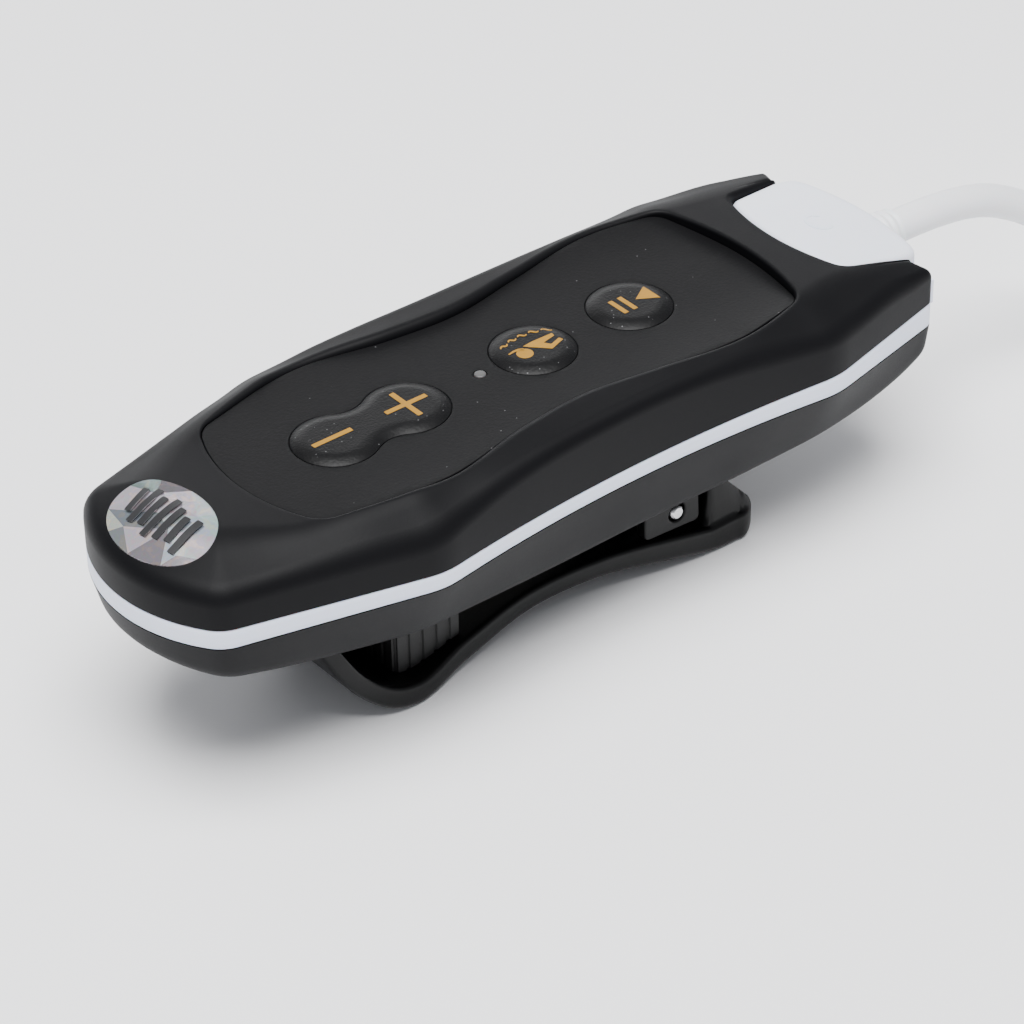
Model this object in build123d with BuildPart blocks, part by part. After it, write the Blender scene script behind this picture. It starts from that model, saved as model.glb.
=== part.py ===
"""Clip-on digital audio player for sport, with its earphone lead locked in.

The player lies along X with its sticker end at -X and its plug end at +X, keys up, standing on its
belt clip.  Z is 0 where the clip meets the table, and the origin is under the middle of the body.
"""
from build123d import *
import math
import os

# ---------------------------------------------------------------- driving dimensions, millimetres
PARTING_Z = 18.0            # parting plane: underside of the white frame, above the table
WALL = 1.4                  # moulded wall of both covers
FAR = 50.0                  # past the player on every side, for cutting blocks
OVER = 12.0                 # above and below the housing, for cutting blocks

# plan of the housing: X and half width at each corner
SHOULDER = (41.9, 12.0)     # plug end
UPPER_WIDE = (26.6, 15.25)
WAIST = (4.0, 13.7)
LOWER_WIDE = (-20.1, 15.7)
TAPER_END = (-40.3, 10.5)   # sticker end
END_X = -44.2
CORNER_R = (1.2, 2.0, 2.0, 3.0)

# heights above the parting plane
FRAME_TOP = (2.1, 1.7, 2.75)        # white frame at the sticker end, the middle and the plug end
FRAME_WALL = 2.4
FRAME_SPAN = 46.0
BELLY = ((-44.6, -3.2), (-27.0, -6.4), (-8.0, -7.7), (20.0, -7.55), (33.0, -6.2), (42.4, -3.0))
BELLY_DEEP = 7.8

# foot of the flank facets, where they meet the belly: the same four corners, waist and end
KEEL = ((40.9, 11.7), (26.6, 11.7), (-20.1, 11.7), (-38.7, 8.9))
KEEL_WAIST = (4.0, 11.6)
KEEL_END_X = -42.4

# front cover: X, half width of the crest, height of the crest, height of the side wall's top edge
CREST = (
    (-46.0, 4.0, 7.0, 5.2),
    (-38.5, 6.5, 7.8, 5.6),
    (-30.0, 9.8, 8.3, 5.6),
    (-20.5, 11.6, 8.6, 5.5),
    (-11.0, 10.7, 8.6, 7.4),
    (2.0, 9.5, 8.6, 8.0),
    (11.0, 11.1, 8.6, 7.9),
    (20.0, 12.0, 8.8, 6.9),
    (28.0, 11.3, 8.7, 6.5),
    (33.5, 10.6, 8.1, 6.7),
    (43.0, 10.0, 6.5, 6.2),
)
CREST_REACH = 18.0                  # sections run this far out, past the housing's sides
CAVITY_TOP = 5.0
CAVITY_END = 30.0                   # cross wall between the cavity and the plug bay
FRAME_LAP = 0.6                     # the front cover laps this far over the white frame
SEAL = (0.6, 1.3, -0.9, 0.8)        # how far in from the wall it runs, foot and thickness

# keypad recess: X and half width, the ends bow out
RECESS_SIDE = ((26.0, 10.2), (18.0, 11.5), (8.0, 10.2), (0.5, 9.1), (-6.5, 9.6), (-16.0, 11.3), (-28.5, 9.3))
RECESS_PLUG_X = 27.9
RECESS_END_X = -31.0
RECESS_CORNER_R = 1.6
PANEL_TOP = 7.6
PANEL_THICK = 1.2
STICKER = (-39.0, 8.1, 4.15, 6.15, 0.35)    # middle, height, half length, half width and thickness
STICKER_TILT = (0.985, 0.17)

# keys
KEY_R = 4.15
KEY_GAP = 0.08
KEY_RISE = 0.42
KEY_FILLET = 0.35
KEY_TRAVEL = 0.4
FLANGE_GROW = 0.6
FLANGE_THICK = 0.25
FLANGE_GAP = 0.05
STEM_R = 1.2
STEM_GAP = 0.4
PLAY_X = 13.95
MODE_X = 2.4
LED_X = -3.8
LED_R = 0.62
PLUS_X = -12.3
MINUS_X = -20.2
VOLUME_WAIST = 3.0
ROCKER_EAR = (1.2, 3.6)             # half length and half width of the lugs it rocks on
FLANGE_TOP = PANEL_TOP - 0.4
POCKET_GROW = 0.7                   # room round a key for its flange
LENS_FIT = 0.03
LENS_RISE = 0.12
LENS_FOOT = 4.7

# plug bay: notch between the prongs, and the white earphone plug in it
NOTCH_MOUTH = 9.3
NOTCH_ROOT = 8.2
NOTCH_X = 32.4
NOTCH_BOW = 0.6
PLUG_FIT = 0.1
PLUG_END = 43.9
PLUG_TOP = (8.0, 6.5)               # height at the notch root and at the end
PLUG_AXIS = 2.7                     # height of the jack's axis
JACK_R = 1.75
NECK_R = 2.35                       # neck of the plug, through the wall
NECK_LONG = 2.2
NECK_ROOM = 0.25                    # round the neck, for its seal
PLUG_ROUND = 0.7
NOTCH_ROUND = 1.2
JACK_TIP = 17.8
JACK_NOSE = 0.8

# lock bracket and its screws
LOCK_X = 34.6
LOCK_HALF = 8.9
LOCK_CEILING = -2.6
LOCK_LIP = (44.2, -4.4, -0.15)      # its end, underside and top
LIP_ROUND = 0.9
SCREW = (37.9, 5.6)
SCREW_HEAD = (1.8, 1.0)             # radius and height
SCREW_SHANK = (0.95, 6.0)
SCREW_SEAT = -3.95                  # underside of the wall that the heads sit against
SCREW_CROSS = (2.3, 0.5, 0.6)       # length, width and depth
LOCK_FIT = 0.05
HOLE_SPARE = 1.45                   # depth of a screw hole past its screw

# belt clip
CLIP_PIN = (13.1, -11.3)
PIN_R = 0.8
PIN_FIT = 0.05
PIN_PROUD = 0.15
EAR = ((9.1, -7.62), (9.1, -12.9), (15.9, -13.3), (15.7, -7.62))   # side view of the bracket's ears
EAR_OUT = 8.0
EAR_THICK = 1.3
EAR_ROUND = 0.6
BRACKET_PLATE = -8.9                # underside of the plate between the ears
LUG_OUT = 6.4
LUG_THICK = 1.3
LUG_R = 2.0
LUG_SPACE = 2.9                     # half length of the space between the lugs, for the spring
LUG_FLOOR = -13.8
LUG_FOOT = (0.6, -14.2, -14.9)      # how much wider than the eye, and where its two ends stand in the lever
LEVER_TIP = -29.0
LEVER_TAB = 23.3
LEVER_SHOULDER = (20.5, 8.4)
LEVER_NECK = (-24.6, 8.3)
LEVER_SIDE = ((14.0, 8.4), (5.2, 7.45), (-3.5, 6.7), (-12.0, 7.7), (-20.3, 8.9))
LEVER_TIP_HALF = 5.6
LEVER_TAB_HALF = 6.2
LEVER_OUTER = ((-29.0, -6.9), (-25.6, -13.2), (-18.8, -17.93), (-12.0, -16.9), (-3.5, -15.6),
               (4.5, -15.3), (12.5, -16.6), (20.0, -18.0))
LEVER_INNER = ((17.2, -14.9), (12.5, -13.9), (4.5, -13.0), (-3.5, -13.3), (-12.0, -14.3),
               (-18.8, -15.4), (-24.2, -12.0), (-27.2, -6.9))
TAB_CHEEK = ((18.4, -10.0), (19.3, -10.3), (22.9, -14.5), (23.3, -15.4))    # thumb tab, side view
TAB_NOSE = (23.0, -17.0)
JAW = (-19.4, -11.6, 6.4)           # rubber jaw block: ends and half width
JAW_TOP = -7.75
JAW_GROOVE = (0.8, 0.8, 2.6)        # width, depth and spacing of the gripping grooves
SPRING_WIRE_R = 0.3
SPRING_COIL_R = 1.45
SPRING_TURNS = 5
SPRING_HALF = 2.4

# inside
BOARD = (-34.0, 17.0, 9.0, 1.8, 0.8)          # ends, half width, underside, thickness
BATTERY = (-22.0, 12.0, 8.4, -5.0, -1.1)      # ends, half width, underside, top
SWITCH_TOP = 4.4
SOCKET = (17.0, 29.6, 3.0, 0.1, 4.95)          # ends, half width, underside, top
SWITCH = (5.2, 1.3, 1.4)            # side, height of the case, radius of the plunger
PROCESSOR = (6.5, 7.0, 0.9)         # middle, side, thickness
MEMORY = (-8.0, 12.0, 14.0, 1.0)    # middle, length, width, thickness
CRYSTAL = (8.2, 4.0, 3.0, 1.4, 0.9)
CHIP = (1.0, 0.5, 0.5)
CHIP_ROWS = (3.0, 13.0, 9, 2)
STATUS_LED = (0.8, 0.4, 0.7)        # half length, half width, height
BATTERY_ROUND = 1.2

# earphone lead: a lead to the splitter and a branch to each bud, folded into hanks in line with the housing
LEAD_D = 3.4
BRANCH_D = 2.4
RELIEF = (3.6, 2.4, 1.95)           # strain relief: length, radius at the plug and at the cord
LEAD_ROUTE = ((9.0, 0.0, 0.0), (8.5, -0.6, -3.7), (6.6, -2.4, -5.8), (6.8, -4.2, -4.8), (7.1, -3.9, -2.9),
              (7.6, -2.2, -1.35))    # steps from the strain relief to the hank
LEAD_HANK_R = (13.5, 10.05)         # end loops of the outer and inner turns, two layers of each
LEAD_HANK_RUN = 22.0                # straight stretch of each turn
TAIL_ROUTE = ((6.0, 0.5, 0.0), (5.8, 2.9, -0.3), (5.0, 4.6, -1.2), (4.8, 3.6, -1.0), (5.4, 1.5, -0.7))
BRANCH_ROUTE = ((3.8, 0.0, 0.0), (3.8, 0.15, 0.0), (3.8, -0.1, 0.0))
BRANCH_HANK_R = 6.3
BRANCH_HANK_RUN = 18.0
BUD_ROUTE = ((3.6, 0.4, -1.1), (3.1, 2.1, -1.6))
LEAD_LAYERS = 2
BRANCH_LAYERS = 3
HANK_GAP = 0.12                     # half the space between the two branch hanks
TIE = (5.0, 0.3)                    # width and thickness of the bands that hold the hanks
SPLITTER = (10.0, 6.4, 4.4)
SPLITTER_ROUND = (2.4, 1.0)         # corners in plan, and top edge
BRANCH_Y = 1.6                      # each branch leaves the splitter this far off its middle
TABLE_GAP = 0.02
HANK_ROUND = 1.1
BUD_R = 4.8
BUD_ENTRY = (3.3, 3.3)              # from the cord's end to the middle of the bud
BUD_ROUND = 1.6
BUD_HEIGHTS = (0.05, 6.4, 11.2)     # foot, top of the housing, top of the ear tip
TIP_R = 2.6
TIP_ROUND = 1.2

# ---------------------------------------------------------------- helpers


def level(height):
    """Horizontal plane at a height above the parting plane."""
    return Plane.XY.offset(PARTING_Z + height)


def outline(height, corners, waist, end_x, inset):
    """Plan with four corners a side, a bowed waist and a bowed sticker end."""
    shoulder, upper, lower, taper = corners
    with BuildSketch(level(height)) as sketch:
        with BuildLine():
            for side in (1, -1):
                Line((shoulder[0], side * shoulder[1]), (upper[0], side * upper[1]))
                ThreePointArc((upper[0], side * upper[1]), (waist[0], side * waist[1]),
                              (lower[0], side * lower[1]))
                Line((lower[0], side * lower[1]), (taper[0], side * taper[1]))
            ThreePointArc(taper, (end_x, 0), (taper[0], -taper[1]))
            Line(shoulder, (shoulder[0], -shoulder[1]))
        make_face()
        for (x, _), radius in zip(corners, CORNER_R):
            fillet(sketch.vertices().filter_by_position(Axis.X, x - 0.01, x + 0.01), radius)
        if inset:
            offset(amount=-inset, kind=Kind.INTERSECTION)
    return sketch.sketch


def plan(height, inset=0.0):
    """Outline of the housing at a height above the parting plane."""
    return outline(height, (SHOULDER, UPPER_WIDE, LOWER_WIDE, TAPER_END), WAIST, END_X, inset)


def keel(height, inset=0.0):
    """Outline at the foot of the flank facets."""
    return outline(height, KEEL, KEEL_WAIST, KEEL_END_X, inset)


def side_plane():
    """Vertical plane through the middle, X along the player and Y up from the parting plane."""
    return Plane.XZ.offset(0).shift_origin((0, 0, PARTING_Z))


def above_belly(lift=0.0):
    """Block over the curved belly of the back cover."""
    points = [(x, z + lift) for x, z in BELLY]
    with BuildPart() as block:
        with BuildSketch(side_plane()):
            with BuildLine():
                ThreePointArc(points[0], points[1], points[2])
                Line(points[2], points[3])
                ThreePointArc(points[3], points[4], points[5])
                Polyline(points[5], (points[5][0], OVER), (points[0][0], OVER), points[0])
            make_face()
        extrude(amount=FAR, both=True)
    return block.part


def lower_form(inset=0.0):
    """Solid form of the back cover, or of its cavity."""
    with BuildPart() as form:
        add(plan(0, inset))
        add(keel(-BELLY_DEEP, inset))
        loft(ruled=True)
        add(above_belly(inset), mode=Mode.INTERSECT)
    return form.part


def under_frame_top(lift=0.0):
    """Block below the gently curved top edge of the white frame."""
    with BuildPart() as block:
        with BuildSketch(side_plane()):
            with BuildLine():
                ThreePointArc((-FRAME_SPAN, FRAME_TOP[0] + lift), (0, FRAME_TOP[1] + lift),
                              (FRAME_SPAN, FRAME_TOP[2] + lift))
                Polyline((FRAME_SPAN, FRAME_TOP[2] + lift), (FRAME_SPAN, -1), (-FRAME_SPAN, -1),
                         (-FRAME_SPAN, FRAME_TOP[0] + lift))
            make_face()
        extrude(amount=FAR, both=True)
    return block.part


def half_width(x):
    """Half width of the housing at a station along X."""
    stations = (SHOULDER, UPPER_WIDE, LOWER_WIDE, TAPER_END)
    for (x1, w1), (x2, w2) in zip(stations, stations[1:]):
        if x2 <= x <= x1:
            t = (x - x2) / (x1 - x2)
            straight = w2 + t * (w1 - w2)
            sag = (w1 + w2) / 2 - WAIST[1] if stations.index((x1, w1)) == 1 else 0
            return straight - sag * 4 * t * (1 - t)
    return SHOULDER[1] if x > 0 else TAPER_END[1] - 2


def crowned_form():
    """Front cover's form: a wavy crest along each side and slopes from it to the side walls."""
    with BuildPart() as form:
        for x, crest_y, crest_z, edge_z in CREST:
            slope = (crest_z - edge_z) / (half_width(x) - crest_y)
            outer_z = crest_z - slope * (CREST_REACH - crest_y)
            with BuildSketch(Plane(origin=(x, 0, PARTING_Z), x_dir=(0, 1, 0), z_dir=(1, 0, 0))):
                with BuildLine():
                    Polyline((-CREST_REACH, -2), (CREST_REACH, -2), (CREST_REACH, outer_z),
                             (crest_y, crest_z), (-crest_y, crest_z), (-CREST_REACH, outer_z), close=True)
                make_face()
        loft(ruled=True)
        with BuildSketch(level(0)):
            add(plan(0))
        extrude(amount=OVER, mode=Mode.INTERSECT)
    return form.part


def recess(height):
    """Outline of the keypad recess."""
    side = list(RECESS_SIDE)
    with BuildSketch(level(height)) as sketch:
        with BuildLine():
            Spline(*side)
            ThreePointArc(side[-1], (RECESS_END_X, 0), (side[-1][0], -side[-1][1]))
            Spline(*[(x, -y) for x, y in reversed(side)])
            ThreePointArc((side[0][0], -side[0][1]), (RECESS_PLUG_X, 0), side[0])
        make_face()
        fillet(sketch.vertices(), RECESS_CORNER_R)
    return sketch.sketch


def notch(height, fit=0.0, end=FAR):
    """Plan of the plug bay, or of the plug in it, with a bowed root."""
    mouth = NOTCH_MOUTH - fit
    root = NOTCH_ROOT - fit
    back = NOTCH_X + fit
    with BuildSketch(level(height)) as sketch:
        with BuildLine():
            Line((end, mouth), (40.0, mouth))
            Line((40.0, mouth), (back + 1, root))
            ThreePointArc((back + 1, root), (back - NOTCH_BOW, 0), (back + 1, -root))
            Line((back + 1, -root), (40.0, -mouth))
            Line((40.0, -mouth), (end, -mouth))
            Line((end, -mouth), (end, mouth))
        make_face()
        fillet(sketch.vertices().filter_by_position(Axis.X, back + 0.9, back + 1.1), NOTCH_ROUND)
    return sketch.sketch


def peanut(height, grow=0.0):
    """Plan of the volume key: two round ends and a waist, every arc tangent to the next."""
    middle = (PLUS_X + MINUS_X) / 2
    half = (PLUS_X - MINUS_X) / 2
    waist_r = (VOLUME_WAIST ** 2 + half ** 2 - KEY_R ** 2) / (2 * (KEY_R - VOLUME_WAIST))
    share = KEY_R / (KEY_R + waist_r)
    dx = half * share
    dy = (VOLUME_WAIST + waist_r) * share
    with BuildSketch(level(height)) as sketch:
        with BuildLine():
            ThreePointArc((PLUS_X - dx, dy), (PLUS_X + KEY_R, 0), (PLUS_X - dx, -dy))
            ThreePointArc((PLUS_X - dx, -dy), (middle, -VOLUME_WAIST), (MINUS_X + dx, -dy))
            ThreePointArc((MINUS_X + dx, -dy), (MINUS_X - KEY_R, 0), (MINUS_X + dx, dy))
            ThreePointArc((MINUS_X + dx, dy), (middle, VOLUME_WAIST), (PLUS_X - dx, dy))
        make_face()
        if grow:
            offset(amount=grow)
    return sketch.sketch


def disc(height, x, radius, y=0.0):
    """Round outline at a station."""
    with BuildSketch(level(height)) as sketch:
        with Locations((x, y)):
            Circle(radius)
    return sketch.sketch


def slab(x1, x2, half, z1, z2):
    """Block from one X to another, of a half width, between two heights."""
    with BuildPart() as block:
        with BuildSketch(level(z1)):
            with Locations(((x1 + x2) / 2, 0)):
                Rectangle(x2 - x1, 2 * half)
        extrude(amount=z2 - z1)
    return block.part


def rod(x, z, radius, half):
    """Round bar across the player, about its middle."""
    with BuildPart() as bar:
        with BuildSketch(side_plane()):
            with Locations((x, z)):
                Circle(radius)
        extrude(amount=half, both=True)
    return bar.part


finished = []


def keep(builder, name):
    """Label a finished piece and write it."""
    builder.part.label = name
    finished.append(name)
    export_step(builder.part, f"parts/{name}.step")


os.makedirs("parts", exist_ok=True)

# ---------------------------------------------------------------- housing

with BuildPart() as back_cover:
    add(lower_form())
    with BuildPart(mode=Mode.PRIVATE) as cavity:
        add(lower_form(WALL))
        add(slab(-FAR, CAVITY_END, FAR, -OVER, 1), mode=Mode.INTERSECT)
    add(cavity.part, mode=Mode.SUBTRACT)
    add(slab(LOCK_X - LOCK_FIT, FAR, LOCK_HALF + LOCK_FIT, -OVER, LOCK_CEILING), mode=Mode.SUBTRACT)
    with BuildSketch(level(SCREW_SEAT)):
        with Locations((SCREW[0], SCREW[1]), (SCREW[0], -SCREW[1])):
            Circle(SCREW_SHANK[0] + LOCK_FIT)
    extrude(amount=OVER, mode=Mode.SUBTRACT)
keep(back_cover, "back_cover")

with BuildPart() as mid_frame:
    add(plan(0))
    extrude(amount=OVER)
    add(plan(0, FRAME_WALL))
    extrude(amount=OVER, mode=Mode.SUBTRACT)
    add(under_frame_top(), mode=Mode.INTERSECT)
    add(notch(-1))
    extrude(amount=OVER, mode=Mode.SUBTRACT)
keep(mid_frame, "mid_frame")

with BuildPart() as front_cover:
    add(crowned_form())
    add(under_frame_top(), mode=Mode.SUBTRACT)
    with BuildPart(mode=Mode.PRIVATE) as hollow:
        add(plan(-1, FRAME_WALL - FRAME_LAP))
        extrude(amount=CAVITY_TOP + 1)
        add(slab(-FAR, CAVITY_END, FAR, -OVER, CAVITY_TOP + 1), mode=Mode.INTERSECT)
    add(hollow.part, mode=Mode.SUBTRACT)
    add(recess(PANEL_TOP - PANEL_THICK))
    extrude(amount=OVER, mode=Mode.SUBTRACT)
    add(notch(-1))
    extrude(amount=OVER + 1, mode=Mode.SUBTRACT)
    with BuildSketch(level(CAVITY_TOP - 1)):
        with Locations((PLAY_X, 0), (MODE_X, 0), (PLUS_X, 0), (MINUS_X, 0)):
            Circle(STEM_R + STEM_GAP)
        with Locations((LED_X, 0)):
            Circle(LED_R)
    extrude(amount=3, mode=Mode.SUBTRACT)
    with BuildSketch(Plane(origin=(CAVITY_END - 1, 0, PARTING_Z + PLUG_AXIS), z_dir=(1, 0, 0))):
        Circle(NECK_R + NECK_ROOM)
    extrude(amount=4, mode=Mode.SUBTRACT)
keep(front_cover, "front_cover")

# ---------------------------------------------------------------- keypad

panel_under = PANEL_TOP - PANEL_THICK
pocket_top = FLANGE_TOP + FLANGE_GAP
stem_foot = SWITCH_TOP + KEY_TRAVEL + 0.1

with BuildPart() as keypad_panel:
    add(recess(panel_under))
    extrude(amount=PANEL_THICK)
    for key_x in (PLAY_X, MODE_X):
        add(disc(panel_under, key_x, KEY_R + KEY_GAP))
        extrude(amount=PANEL_THICK, mode=Mode.SUBTRACT)
        add(disc(panel_under, key_x, KEY_R + POCKET_GROW))
        extrude(amount=pocket_top - panel_under, mode=Mode.SUBTRACT)
    add(peanut(panel_under, KEY_GAP))
    extrude(amount=PANEL_THICK, mode=Mode.SUBTRACT)
    add(peanut(panel_under, POCKET_GROW))
    extrude(amount=pocket_top - panel_under, mode=Mode.SUBTRACT)
    add(disc(panel_under, LED_X, LED_R))
    extrude(amount=PANEL_THICK, mode=Mode.SUBTRACT)
keep(keypad_panel, "keypad_panel")


def round_key(key_x):
    """Round key: a low dome, a flange that holds it in and a stem over its switch."""
    with BuildPart() as key:
        add(disc(FLANGE_TOP, key_x, KEY_R))
        extrude(amount=PANEL_TOP + KEY_RISE - FLANGE_TOP)
        fillet(key.faces().sort_by(Axis.Z)[-1].edges(), KEY_FILLET)
        add(disc(FLANGE_TOP - FLANGE_THICK, key_x, KEY_R + FLANGE_GROW))
        extrude(amount=FLANGE_THICK)
        add(disc(stem_foot, key_x, STEM_R))
        extrude(amount=FLANGE_TOP - stem_foot)
    return key


keep(round_key(PLAY_X), "play_button")
keep(round_key(MODE_X), "mode_button")

with BuildPart() as volume_rocker:
    add(peanut(FLANGE_TOP))
    extrude(amount=PANEL_TOP + KEY_RISE - FLANGE_TOP)
    fillet(volume_rocker.faces().sort_by(Axis.Z)[-1].edges(), KEY_FILLET)
    with BuildSketch(level(FLANGE_TOP - FLANGE_THICK)):
        with Locations(((PLUS_X + MINUS_X) / 2, 0)):
            Rectangle(2 * ROCKER_EAR[0], 2 * ROCKER_EAR[1])
    extrude(amount=FLANGE_THICK)
    for key_x in (PLUS_X, MINUS_X):
        add(disc(stem_foot, key_x, STEM_R))
        extrude(amount=FLANGE_TOP - stem_foot)
keep(volume_rocker, "volume_rocker")

with BuildPart() as led_lens:
    add(disc(LENS_FOOT, LED_X, LED_R - LENS_FIT))
    extrude(amount=PANEL_TOP + LENS_RISE - LENS_FOOT)
keep(led_lens, "led_lens")

# ---------------------------------------------------------------- sticker, plug and its lock

sticker_x, sticker_z, sticker_long, sticker_wide, sticker_thick = STICKER
along, rise = STICKER_TILT

with BuildPart() as sticker:
    with BuildSketch(Plane((sticker_x, 0, PARTING_Z + sticker_z), x_dir=(along, 0, rise),
                           z_dir=(-rise, 0, along))):
        Ellipse(sticker_long, sticker_wide)
    extrude(amount=sticker_thick)
keep(sticker, "sticker")

with BuildPart() as plug_block:
    add(notch(LOCK_FIT, PLUG_FIT, PLUG_END))
    extrude(amount=OVER)
    with BuildSketch(side_plane()):
        with BuildLine():
            Polyline((NOTCH_X - 2, 0), (NOTCH_X - 2, PLUG_TOP[0] + 0.1), (NOTCH_X, PLUG_TOP[0]),
                     (PLUG_END, PLUG_TOP[1]), (PLUG_END + 1, 0), close=True)
        make_face()
    extrude(amount=FAR, both=True, mode=Mode.INTERSECT)
    fillet(plug_block.faces().sort_by(Axis.X)[-1].edges(), PLUG_ROUND)
    for side in (1, -1):
        with BuildSketch(level(0)):
            with Locations((SCREW[0], side * SCREW[1])):
                Circle(SCREW_SHANK[0])
        extrude(amount=SCREW_SHANK[1] + SCREW_SEAT + 2 * LOCK_FIT + HOLE_SPARE, mode=Mode.SUBTRACT)
keep(plug_block, "plug_block")

socket_x1, socket_x2, socket_half, socket_z1, socket_z2 = SOCKET

neck_x = NOTCH_X - NOTCH_BOW + PLUG_FIT
pin_start = neck_x - NECK_LONG + PLUG_FIT

with BuildPart() as plug_jack:
    with BuildSketch(Plane(origin=(neck_x, 0, PARTING_Z + PLUG_AXIS), z_dir=(-1, 0, 0))):
        Circle(NECK_R)
    extrude(amount=NECK_LONG)
    with BuildSketch(Plane(origin=(pin_start, 0, PARTING_Z + PLUG_AXIS), z_dir=(-1, 0, 0))):
        Circle(JACK_R)
    extrude(amount=pin_start - JACK_TIP)
    chamfer(plug_jack.faces().sort_by(Axis.X)[0].edges(), JACK_NOSE)
keep(plug_jack, "plug_jack")

with BuildPart() as plug_seal:
    with BuildSketch(Plane(origin=(CAVITY_END + 0.3, 0, PARTING_Z + PLUG_AXIS), z_dir=(1, 0, 0))):
        Circle(NECK_R + NECK_ROOM - 0.02)
        Circle(NECK_R, mode=Mode.SUBTRACT)
    extrude(amount=1.0)
keep(plug_seal, "plug_seal")

lip_x, lip_z1, lip_z2 = LOCK_LIP
lip_start = SHOULDER[0] + LOCK_FIT
plate_top = LOCK_CEILING - LOCK_FIT

with BuildPart() as plug_bracket:
    add(lower_form())
    add(slab(LOCK_X, FAR, LOCK_HALF, -OVER, plate_top), mode=Mode.INTERSECT)
    with BuildSketch(level(lip_z1)):
        with Locations(((lip_start + lip_x) / 2, 0)):
            RectangleRounded(lip_x - lip_start, 2 * LOCK_HALF, LIP_ROUND)
    extrude(amount=lip_z2 - lip_z1)
    with BuildSketch(level(lip_z1)):
        with Locations((SHOULDER[0] - 0.5, 0)):
            Rectangle(3, 2 * LOCK_HALF - 2)
    extrude(amount=plate_top - lip_z1)
    for side in (1, -1):
        with BuildSketch(level(-OVER)):
            with Locations((SCREW[0], side * SCREW[1])):
                Circle(SCREW_HEAD[0] + 2 * LOCK_FIT)
        extrude(amount=OVER + SCREW_SEAT, mode=Mode.SUBTRACT)
        with BuildSketch(level(-OVER)):
            with Locations((SCREW[0], side * SCREW[1])):
                Circle(SCREW_SHANK[0] + LOCK_FIT)
        extrude(amount=OVER, mode=Mode.SUBTRACT)
keep(plug_bracket, "plug_bracket")

screw_foot = SCREW_SEAT - SCREW_HEAD[1]
cross_long, cross_wide, cross_deep = SCREW_CROSS

with BuildPart() as bracket_screws:
    for side in (1, -1):
        with BuildSketch(level(screw_foot)):
            with Locations((SCREW[0], side * SCREW[1])):
                Circle(SCREW_HEAD[0])
        extrude(amount=SCREW_HEAD[1])
        with BuildSketch(level(SCREW_SEAT)):
            with Locations((SCREW[0], side * SCREW[1])):
                Circle(SCREW_SHANK[0])
        extrude(amount=SCREW_SHANK[1])
        with BuildSketch(level(screw_foot)):
            with Locations((SCREW[0], side * SCREW[1])):
                Rectangle(cross_long, cross_wide)
                Rectangle(cross_wide, cross_long)
        extrude(amount=cross_deep, mode=Mode.SUBTRACT)
keep(bracket_screws, "bracket_screws")

# ---------------------------------------------------------------- belt clip

pin_x, pin_z = CLIP_PIN

with BuildPart() as clip_bracket:
    with BuildSketch(side_plane()):
        with BuildLine():
            Polyline(*EAR, close=True)
        make_face()
    extrude(amount=EAR_OUT, both=True)
    add(slab(pin_x - OVER, pin_x + OVER, EAR_OUT - EAR_THICK, -FAR, BRACKET_PLATE), mode=Mode.SUBTRACT)
    add(rod(pin_x, pin_z, PIN_R + PIN_FIT, OVER), mode=Mode.SUBTRACT)
    fillet(clip_bracket.edges().filter_by(Axis.Y).sort_by(Axis.Z)[:4], EAR_ROUND)
keep(clip_bracket, "clip_bracket")

with BuildPart() as clip_pin:
    add(rod(pin_x, pin_z, PIN_R, EAR_OUT + PIN_PROUD))
keep(clip_pin, "clip_pin")


def lever_plan():
    """Plan of the belt clip's lever: a waisted tongue."""
    tip = (LEVER_TIP, LEVER_TIP_HALF)
    tab = (LEVER_TAB, LEVER_TAB_HALF)
    with BuildSketch(level(-PARTING_Z)) as sketch:
        with BuildLine():
            Line((LEVER_TAB, 0), tab)
            Spline(tab, LEVER_SHOULDER, tangents=((-0.15, 1), (-1, 0)))
            Spline(LEVER_SHOULDER, *LEVER_SIDE, LEVER_NECK, tangents=((-1, 0), (-0.8, -0.6)))
            Spline(LEVER_NECK, tip, tangents=((-0.8, -0.6), (-0.25, -1)))
            mirror(about=Plane.XZ)
            Line(tip, (LEVER_TIP, -LEVER_TIP_HALF))
        make_face()
    return sketch.sketch


foot_wider, foot_low, foot_end = LUG_FOOT

with BuildPart() as clip_lever:
    with BuildSketch(side_plane()):
        with BuildLine():
            Spline(*LEVER_OUTER)
            Spline(LEVER_OUTER[-1], TAB_NOSE, TAB_CHEEK[-1])
            Polyline(*reversed(TAB_CHEEK), (TAB_CHEEK[0][0], LEVER_INNER[0][1]), LEVER_INNER[0])
            Spline(*LEVER_INNER)
            Line(LEVER_INNER[-1], LEVER_OUTER[0])
        make_face()
    extrude(amount=OVER, both=True)
    add(lever_plan())
    extrude(amount=FAR, mode=Mode.INTERSECT)
    for side in (1, -1):
        with BuildSketch(side_plane()):
            with Locations((pin_x, pin_z)):
                Circle(LUG_R)
            with BuildLine():
                Polyline((pin_x - LUG_R, pin_z), (pin_x - LUG_R - foot_wider, foot_low),
                         (pin_x + LUG_R + foot_wider, foot_end), (pin_x + LUG_R, pin_z), close=True)
            make_face()
        extrude(amount=LUG_OUT, both=True)
    add(slab(pin_x - LUG_SPACE, pin_x + LUG_SPACE, LUG_OUT - LUG_THICK, LUG_FLOOR, BRACKET_PLATE),
        mode=Mode.SUBTRACT)
    add(rod(pin_x, pin_z, PIN_R + PIN_FIT, OVER), mode=Mode.SUBTRACT)
keep(clip_lever, "clip_lever")

jaw_x1, jaw_x2, jaw_half = JAW
groove_wide, groove_deep, groove_step = JAW_GROOVE

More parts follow.
